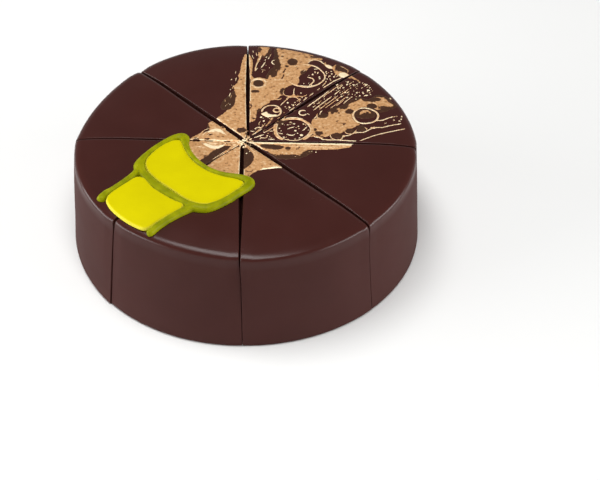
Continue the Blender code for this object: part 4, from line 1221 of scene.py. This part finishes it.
def drop_tree():
    """Geometry nodes that set a flattened drop on every point, turned and sized by it."""
    tree = bpy.data.node_groups.new("spray_drops", "GeometryNodeTree")
    face = tree.interface
    face.new_socket("Points", in_out="INPUT", socket_type="NodeSocketGeometry")
    for name, kind in (("Segments", "NodeSocketInt"), ("Rings", "NodeSocketInt"),
                       ("Material", "NodeSocketMaterial")):
        face.new_socket(name, in_out="INPUT", socket_type=kind)
    face.new_socket("Drops", in_out="OUTPUT", socket_type="NodeSocketGeometry")
    given = tree.nodes.new("NodeGroupInput").outputs
    turn, size = (
        add_node(tree, "GeometryNodeInputNamedAttribute", {"Name": name},
                 data_type="FLOAT_VECTOR").outputs["Attribute"]
        for name in ("turn", "size"))
    points = add_node(tree, "GeometryNodeMeshToPoints", {"Mesh": given["Points"]})
    drop = add_node(tree, "GeometryNodeMeshUVSphere",
                    {"Segments": given["Segments"], "Rings": given["Rings"], "Radius": 1.0})
    spread = add_node(tree, "GeometryNodeInstanceOnPoints",
                      {"Points": points.outputs["Points"], "Instance": drop.outputs["Mesh"],
                       "Rotation": turn, "Scale": size})
    whole = add_node(tree, "GeometryNodeRealizeInstances",
                     {"Geometry": spread.outputs["Instances"]})
    coated = add_node(tree, "GeometryNodeSetMaterial",
                      {"Geometry": whole.outputs["Geometry"], "Material": given["Material"]})
    add_node(tree, "NodeGroupOutput", {"Drops": coated.outputs["Geometry"]})
    return tree


def spray_drops():
    """All drops: the ones that are placed, and seeded ones that fill each spray in rows."""
    drops = list(DROPS)
    chance = random.Random(SPRAY_SEED)
    for count, direction, points in SPRAYS:
        corners = np.array(points)
        turn = math.radians(direction)
        placed = 0
        while placed < count:
            x = chance.uniform(corners[:, 0].min(), corners[:, 0].max())
            y = chance.uniform(corners[:, 1].min(), corners[:, 1].max())
            row = -x * math.sin(turn) + y * math.cos(turn)
            step = (SPRAY_ROW * round(row / SPRAY_ROW) - row
                    + chance.uniform(-SPRAY_STRAY, SPRAY_STRAY))
            x, y = x - step * math.sin(turn), y + step * math.cos(turn)
            if outline_depth(np.array([x]), np.array([y]), points)[0] < 0:
                continue
            placed += 1
            size = chance.uniform(*SPRAY_HALF_WIDTHS)
            drops.append((x, y, size * chance.uniform(*SPRAY_STRETCH), size,
                          direction + chance.uniform(-SPRAY_TURN, SPRAY_TURN),
                          chance.uniform(*SPRAY_TONES)))
    kept = []
    for drop in drops:
        x, y = np.array([drop[0]]), np.array([drop[1]])
        reach = max(slice_reach(number, x, y)[0] for number in range(len(CUTS)))
        on_top = math.hypot(drop[0], drop[1]) < RIM_RADIUS - DROP_RIM_GAP
        if reach > DROP_CLEAR + drop[3] and on_top:
            kept.append((*drop, DROP_HEIGHT))
    return kept + [(*smear, SMEAR_HEIGHT) for smear in SMEARS]


def scattered(name, drops, material):
    """One mesh of all the drops, each lying on the glaze under it."""
    x, y, length, width, turn, tone, height = np.array(drops).T
    ground = np.maximum(ground_under(x, y), top_height(np.hypot(x, y)) - SMEAR_SAG)
    mesh = bpy.data.meshes.new(name + "_points")
    mesh.from_pydata((np.column_stack((x, y, ground)) * MM).tolist(), [], [])
    sizes = np.column_stack((length, width, height)) * MM
    turns = np.column_stack((np.zeros(len(x)), np.zeros(len(x)), np.radians(turn)))
    for measure, values in (("size", sizes), ("turn", turns)):
        kept = mesh.attributes.new(measure, "FLOAT_VECTOR", "POINT")
        kept.data.foreach_set("vector", values.ravel())
    mesh.attributes.new("tone", "FLOAT", "POINT").data.foreach_set("value", tone)
    piece = new_piece(name, mesh)
    nodes_on(piece, drop_tree(),
             {"Segments": DROP_SEGMENTS, "Rings": DROP_RINGS, "Material": material})
    make_plain(piece)
    return piece


spray = scattered("print_droplets", spray_drops(), gold_print)
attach(spray, "root")


# ---- Piped outline --------------------------------------------------------------------
# Soft green icing, piped in one bead round the cork's head and in two more down its body.
# The beads ran together where they touch, and they lie straight on the glaze.

FIGURE_TURN = math.radians(225.0)       # the figure lies along this direction
BEAD_HEIGHT = 3.85
BEAD_STATIONS = 9                       # between two points of a bead
BEAD_SECTION = 28
BEAD_GRAIN = 0.42                       # mesh size that fuses the beads
BEAD_SMOOTHING = 5
ICING_GREEN = (0.285, 0.292, 0.0)
# painted shade: the green of the icing as it looks in shade
ICING_GREEN_SHADED = (0.185, 0.204, 0.0)

# Places on the figure are (along, across) in mm, with half the bead's width as a third.
HEAD_LOOP = (
    (40.9, 0.0, 2.5), (39.9, 9.0, 2.6), (36.6, 18.0, 2.9), (31.0, 26.5, 3.2), (29.0, 33.4, 4.2),
    (33.2, 36.9, 3.5), (41.0, 37.6, 2.9), (51.0, 37.7, 3.0), (60.4, 36.7, 3.3),
    (68.4, 33.8, 3.8), (73.6, 26.4, 4.1), (75.4, 18.4, 3.4), (76.5, 9.0, 4.0), (77.2, 0.0, 4.6),
    (77.2, -7.0, 4.6), (76.0, -15.0, 4.0), (74.4, -24.2, 3.6), (71.0, -30.4, 4.6),
    (65.6, -33.8, 3.4), (59.0, -35.6, 2.8), (51.0, -36.8, 2.7), (41.0, -37.0, 2.8),
    (33.6, -36.0, 3.4), (29.6, -32.6, 4.4), (33.2, -26.8, 3.0), (37.6, -18.0, 2.6),
    (40.1, -9.0, 2.6),
)
LOW_BAR = ((72.0, 27.8, 3.0), (79.0, 26.1, 3.3), (90.0, 25.0, 2.9), (101.0, 24.7, 2.7),
           (109.6, 25.3, 2.8))
HIGH_BAR = ((71.6, -30.0, 2.6), (79.0, -26.0, 2.8), (90.0, -24.2, 2.8), (101.0, -24.1, 2.8),
            (106.0, -24.6, 3.2), (111.4, -23.6, 3.4))
LOW_TAIL, HIGH_TAIL = 2.6, 1.7          # how far the bars' round ends reach on
TAIL_TURNS = (0.5, 0.9, 1.25, 1.5)      # the steps of such an end, as turns of its round


def rounded_end(points, reach):
    """A bar's points with a short, narrowing tail, so that it ends round or nearly blunt."""
    points = np.array(points)
    run = points[-1, :2] - points[-2, :2]
    run *= reach / np.linalg.norm(run)
    tail = [(*(points[-1, :2] + run * math.sin(turn)), points[-1, 2] * math.cos(turn))
            for turn in TAIL_TURNS]
    return np.array([*points, *tail])


def figure_to_plan(places):
    """(along, across) on the figure, in mm, as (x, y)."""
    along, across = places[:, 0], places[:, 1]
    c, s = math.cos(FIGURE_TURN), math.sin(FIGURE_TURN)
    return np.stack((along * c - across * s, along * s + across * c), -1)


def whole_glaze_under(x, y):
    """Height of the glaze as it was before the cuts, in mm."""
    return top_height(np.hypot(x, y))


def green_icing_material():
    """Green icing: satin, mottled at random between its green and a painted shaded green."""
    made, nodes, links, shader = finish_material("green_icing", 0.42, 0.07)
    lit_and_shaded = noise(nodes, links, 130.0, 3.0)
    links.new(colour_ramp(nodes, links, lit_and_shaded, ((0.35, ICING_GREEN_SHADED), (0.65, ICING_GREEN))),
              shader.inputs["Base Color"])
    uneven_gloss(nodes, links, shader, 300.0, 0.34, 0.5)
    bump(nodes, links, shader, noise(nodes, links, 420.0, 3.0), 0.00012)
    return made


def bead_path(points, closed):
    """A bead's points on the figure as a smooth path on the plan, for piped()."""
    path = smooth_path(points, BEAD_STATIONS, closed)
    return np.column_stack((figure_to_plan(path), path[:, 2], np.ones(len(path)))), closed


green_icing = green_icing_material()
bead_paths = [bead_path(HEAD_LOOP, True)]
for bar, tail in ((LOW_BAR, LOW_TAIL), (HIGH_BAR, HIGH_TAIL)):
    bead_paths.append(bead_path(rounded_end(bar, tail), False))
outline = piped("cork_piping", bead_paths, BEAD_HEIGHT, BEAD_SECTION, green_icing,
                (BEAD_GRAIN, BEAD_SMOOTHING))
lay_on(outline.data, whole_glaze_under)
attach(outline, "root")
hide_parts("cork_outline")


# ---- Flooded icing --------------------------------------------------------------------
# Runny yellow icing, flooded inside the piping after it had set: it levels out to a flat
# pillow with a soft round edge, in the cork's head and in its body down to the rim.

FLOOD_HEIGHT = 3.1
FLOOD_EDGE = 1.7                        # radius of its rounded edge
FLOOD_UNDER = -0.9                      # where that round starts, as a turn below level
FLOOD_CROWN = 0.25
CROWN_POWER = 4
FLOOD_SPREAD = 0.9                      # how far it runs in under the piping
FLOOD_RINGS = 14                        # rings of faces to its middle
FLOOD_EDGE_ROWS = 11
FLOOD_STEPS = 8                         # between two points of its outline
# painted highlight: the flood's edge is coloured paler, for light caught on and shining through
# its thin round
EDGE_HIGHLIGHT_FADE = 1.4                         # how fast the pale edge fades, over the round
EDGE_HIGHLIGHT_FADE_INSIDE = 6                    # and inside it
ICING_YELLOW = (0.608, 0.532, 0.0)
ICING_YELLOW_DEEP = (0.566, 0.490, 0.0)
ICING_YELLOW_HIGHLIGHT = (0.69, 0.62, 0.055)

HEAD_FLOOD = (
    (43.4, 0.0), (42.4, 9.5), (39.2, 18.6), (35.0, 26.4), (33.4, 32.4), (37.0, 35.0),
    (42.0, 35.4), (51.0, 35.6), (59.4, 34.9), (65.8, 32.0), (70.0, 26.4), (72.2, 18.0),
    (72.4, 8.0), (72.7, 0.0), (73.0, -8.0), (72.3, -16.0), (70.2, -23.4), (66.4, -28.8),
    (60.8, -32.2), (51.0, -34.5), (42.0, -34.6), (36.6, -33.0), (34.6, -29.6), (37.0, -24.4),
    (40.4, -17.0), (42.8, -8.8),
)
BODY_FLOOD = (
    (81.0, 0.0), (80.4, 8.0), (79.4, 15.0), (77.8, 20.8), (81.4, 23.4), (86.5, 23.5),
    (94.0, 22.5), (101.5, 22.0), (107.6, 21.9), (110.8, 20.0), (112.6, 14.0), (113.6, 7.0),
    (113.8, 0.0), (113.4, -7.0), (112.2, -13.5), (109.6, -18.8), (104.6, -21.2), (98.0, -21.4),
    (89.5, -21.5), (82.2, -21.4), (79.0, -17.6), (79.8, -12.0), (81.2, -6.0),
)


def flood_levels():
    """A pillow's rings: (inset in mm, share of the way to the middle, height in mm)."""
    levels = []
    for turn in np.linspace(FLOOD_UNDER, math.pi / 2, FLOOD_EDGE_ROWS):
        height = FLOOD_HEIGHT + FLOOD_EDGE * (math.sin(turn) - 1)
        levels.append((FLOOD_EDGE * (1 - math.cos(turn)), 0.0, height))
    levels.insert(0, (levels[0][0], 0.0, 0.0))
    for share in np.linspace(0.0, 1.0, FLOOD_RINGS + 1)[1:-1]:
        crown = FLOOD_CROWN * (1 - (1 - share) ** CROWN_POWER)
        levels.append((FLOOD_EDGE, share, FLOOD_HEIGHT + crown))
    return levels


def flooded(name, points, material):
    """A pillow of icing inside a closed edge: rounded all round, nearly flat on top."""
    edge = smooth_path(points, FLOOD_STEPS, True)
    middle = edge.mean(0)
    run = np.roll(edge, -1, 0) - np.roll(edge, 1, 0)
    inward = np.stack((-run[:, 1], run[:, 0]), 1) / np.linalg.norm(run, axis=1)[:, None]
    if ((edge + inward - middle) ** 2).sum() > ((edge - middle) ** 2).sum():
        inward = -inward
    edge = edge - inward * FLOOD_SPREAD
    bm = bmesh.new()
    painted_edge_light = bm.verts.layers.float.new("edge_highlight_share")
    rings = []
    for inset, share, height in flood_levels():
        ring = []
        for point in figure_to_plan((edge + inward * inset) * (1 - share) + middle * share):
            vert = bm.verts.new((point[0] * MM, point[1] * MM, height * MM))
            vert[painted_edge_light] = 1.0 - min(1.0, EDGE_HIGHLIGHT_FADE * inset / FLOOD_EDGE + share * EDGE_HIGHLIGHT_FADE_INSIDE)
            ring.append(vert)
        rings.append(ring)
    for lower, upper in zip(rings, rings[1:]):
        for step in range(len(edge)):
            ahead = (step + 1) % len(edge)
            bm.faces.new((lower[step], lower[ahead], upper[ahead], upper[step]))
    for ring, height in ((rings[0], 0.0), (rings[-1], FLOOD_HEIGHT + FLOOD_CROWN)):
        centre = figure_to_plan(middle[None])[0]
        hub = bm.verts.new((centre[0] * MM, centre[1] * MM, height * MM))
        for step in range(len(edge)):
            bm.faces.new((ring[step], ring[(step + 1) % len(edge)], hub))
    bmesh.ops.recalc_face_normals(bm, faces=bm.faces)
    mesh = bpy.data.meshes.new(name)
    bm.to_mesh(mesh)
    bm.free()
    mesh.materials.append(material)
    mesh.shade_smooth()
    lay_on(mesh, whole_glaze_under)
    return new_piece(name, mesh)


def yellow_icing_material():
    """Yellow icing: even and satin, a little deeper in patches, paler at its thin edge as painted
    highlight and light shining through.
    """
    made, nodes, links, shader = finish_material("yellow_icing", 0.5, 0.03)
    body = colour_ramp(nodes, links, noise(nodes, links, 60.0, 4.0),
                       ((0.3, ICING_YELLOW_DEEP), (0.7, ICING_YELLOW)))
    # painted highlight: how much of the paler edge colour each vertex gets
    tone = nodes.new("ShaderNodeAttribute")
    tone.attribute_name = "edge_highlight_share"
    mix = nodes.new("ShaderNodeMix")
    mix.data_type = "RGBA"
    links.new(tone.outputs["Fac"], mix.inputs["Factor"])
    links.new(body, mix.inputs["A"])
    mix.inputs["B"].default_value = (*ICING_YELLOW_HIGHLIGHT, 1.0)
    links.new(mix.outputs["Result"], shader.inputs["Base Color"])
    uneven_gloss(nodes, links, shader, 200.0, 0.42, 0.56)
    bump(nodes, links, shader, noise(nodes, links, 260.0, 3.0), 0.00005)
    return made


yellow_icing = yellow_icing_material()
for name, points, node in (("cork_head_flood", HEAD_FLOOD, "cork_head_icing"),
                           ("cork_body_flood", BODY_FLOOD, "cork_body_icing")):
    flood = flooded(name, points, yellow_icing)
    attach(flood, "root")
    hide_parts(node)


# ---- Floor, light and camera ----------------------------------------------------------
# A plain white table under a soft box, with a long low one at each side, in a studio that
# is bright low down all round. The camera looks down from the front, a little to the right.

FLOOR_SIZE = 6.0
FLOOR_WHITE = (0.88, 0.88, 0.87)
# The studio's brightness, from level with the table upwards: (height, brightness).
STUDIO = ((0.0, 0.58), (0.16, 0.56), (0.40, 0.17), (0.65, 0.10))
SOFT_BOX_PLACE = (-0.09, -0.06, 1.30)
SOFT_BOX_SIZE = (1.22, 0.42)
SOFT_BOX_POWER = 14.7
SIDE_BOX_PLACES = ((-1.46, -0.22, 0.34), (1.60, -0.34, 0.32))
SIDE_BOX_SIZE = (1.7, 0.55)
SIDE_BOX_POWER = 24.5
LIGHT_TARGET = (0.0, 0.0, 0.05)

CAMERA_TARGET = Vector((0.03888, -0.10171, 0.0751))
CAMERA_DISTANCE = 1.2
CAMERA_ELEVATION = math.radians(41.886)
CAMERA_AZIMUTH = math.radians(0.698)
CAMERA_ROLL = math.radians(0.214)
CAMERA_LENS = 110.03
CAMERA_NEAR = 0.05


def soft_box(name, place, size, power):
    """A rectangular light that faces the torte."""
    light = bpy.data.lights.new(name, "AREA")
    light.shape = "RECTANGLE"
    light.size, light.size_y = size
    light.energy = power
    box = new_piece(name, light)
    box.location = place
    toward = Vector(LIGHT_TARGET) - Vector(place)
    box.rotation_euler = toward.to_track_quat("-Z", "Y").to_euler()


def white_floor():
    half = FLOOR_SIZE / 2
    mesh = bpy.data.meshes.new("table")
    corners = [(-half, -half, 0), (half, -half, 0), (half, half, 0), (-half, half, 0)]
    mesh.from_pydata(corners, [], [(0, 1, 2, 3)])
    floor = new_piece("table", mesh)
    made, nodes, links, shader = finish_material("table_white", 0.7, 0.2)
    shader.inputs["Base Color"].default_value = (*FLOOR_WHITE, 1.0)
    mesh.materials.append(made)


def studio_light():
    world = bpy.data.worlds.new("studio")
    world.use_nodes = True
    nodes, links = world.node_tree.nodes, world.node_tree.links
    looking = nodes.new("ShaderNodeSeparateXYZ")
    links.new(nodes.new("ShaderNodeTexCoord").outputs["Generated"], looking.inputs["Vector"])
    links.new(colour_ramp(nodes, links, looking.outputs["Z"],
                          [(height, (bright,) * 3) for height, bright in STUDIO]),
              nodes["Background"].inputs["Color"])
    bpy.context.scene.world = world
    bpy.context.scene.view_settings.view_transform = "Standard"
    soft_box("soft_box", SOFT_BOX_PLACE, SOFT_BOX_SIZE, SOFT_BOX_POWER)
    for number, place in enumerate(SIDE_BOX_PLACES):
        soft_box(f"side_box_{number + 1}", place, SIDE_BOX_SIZE, SIDE_BOX_POWER)


def camera():
    data = bpy.data.cameras.new("camera")
    data.lens = CAMERA_LENS
    data.clip_start = CAMERA_NEAR
    made = new_piece("camera", data)
    back = Vector((math.sin(CAMERA_AZIMUTH) * math.cos(CAMERA_ELEVATION),
                   -math.cos(CAMERA_AZIMUTH) * math.cos(CAMERA_ELEVATION),
                   math.sin(CAMERA_ELEVATION)))
    level = Vector((0.0, 0.0, 1.0)).cross(back).normalized()
    upright = back.cross(level)
    right = level * math.cos(CAMERA_ROLL) + upright * math.sin(CAMERA_ROLL)
    up = upright * math.cos(CAMERA_ROLL) - level * math.sin(CAMERA_ROLL)
    turn = Matrix((right, up, back)).transposed().to_4x4()
    made.matrix_world = Matrix.Translation(CAMERA_TARGET + back * CAMERA_DISTANCE) @ turn
    bpy.context.scene.camera = made


white_floor()
studio_light()
camera()
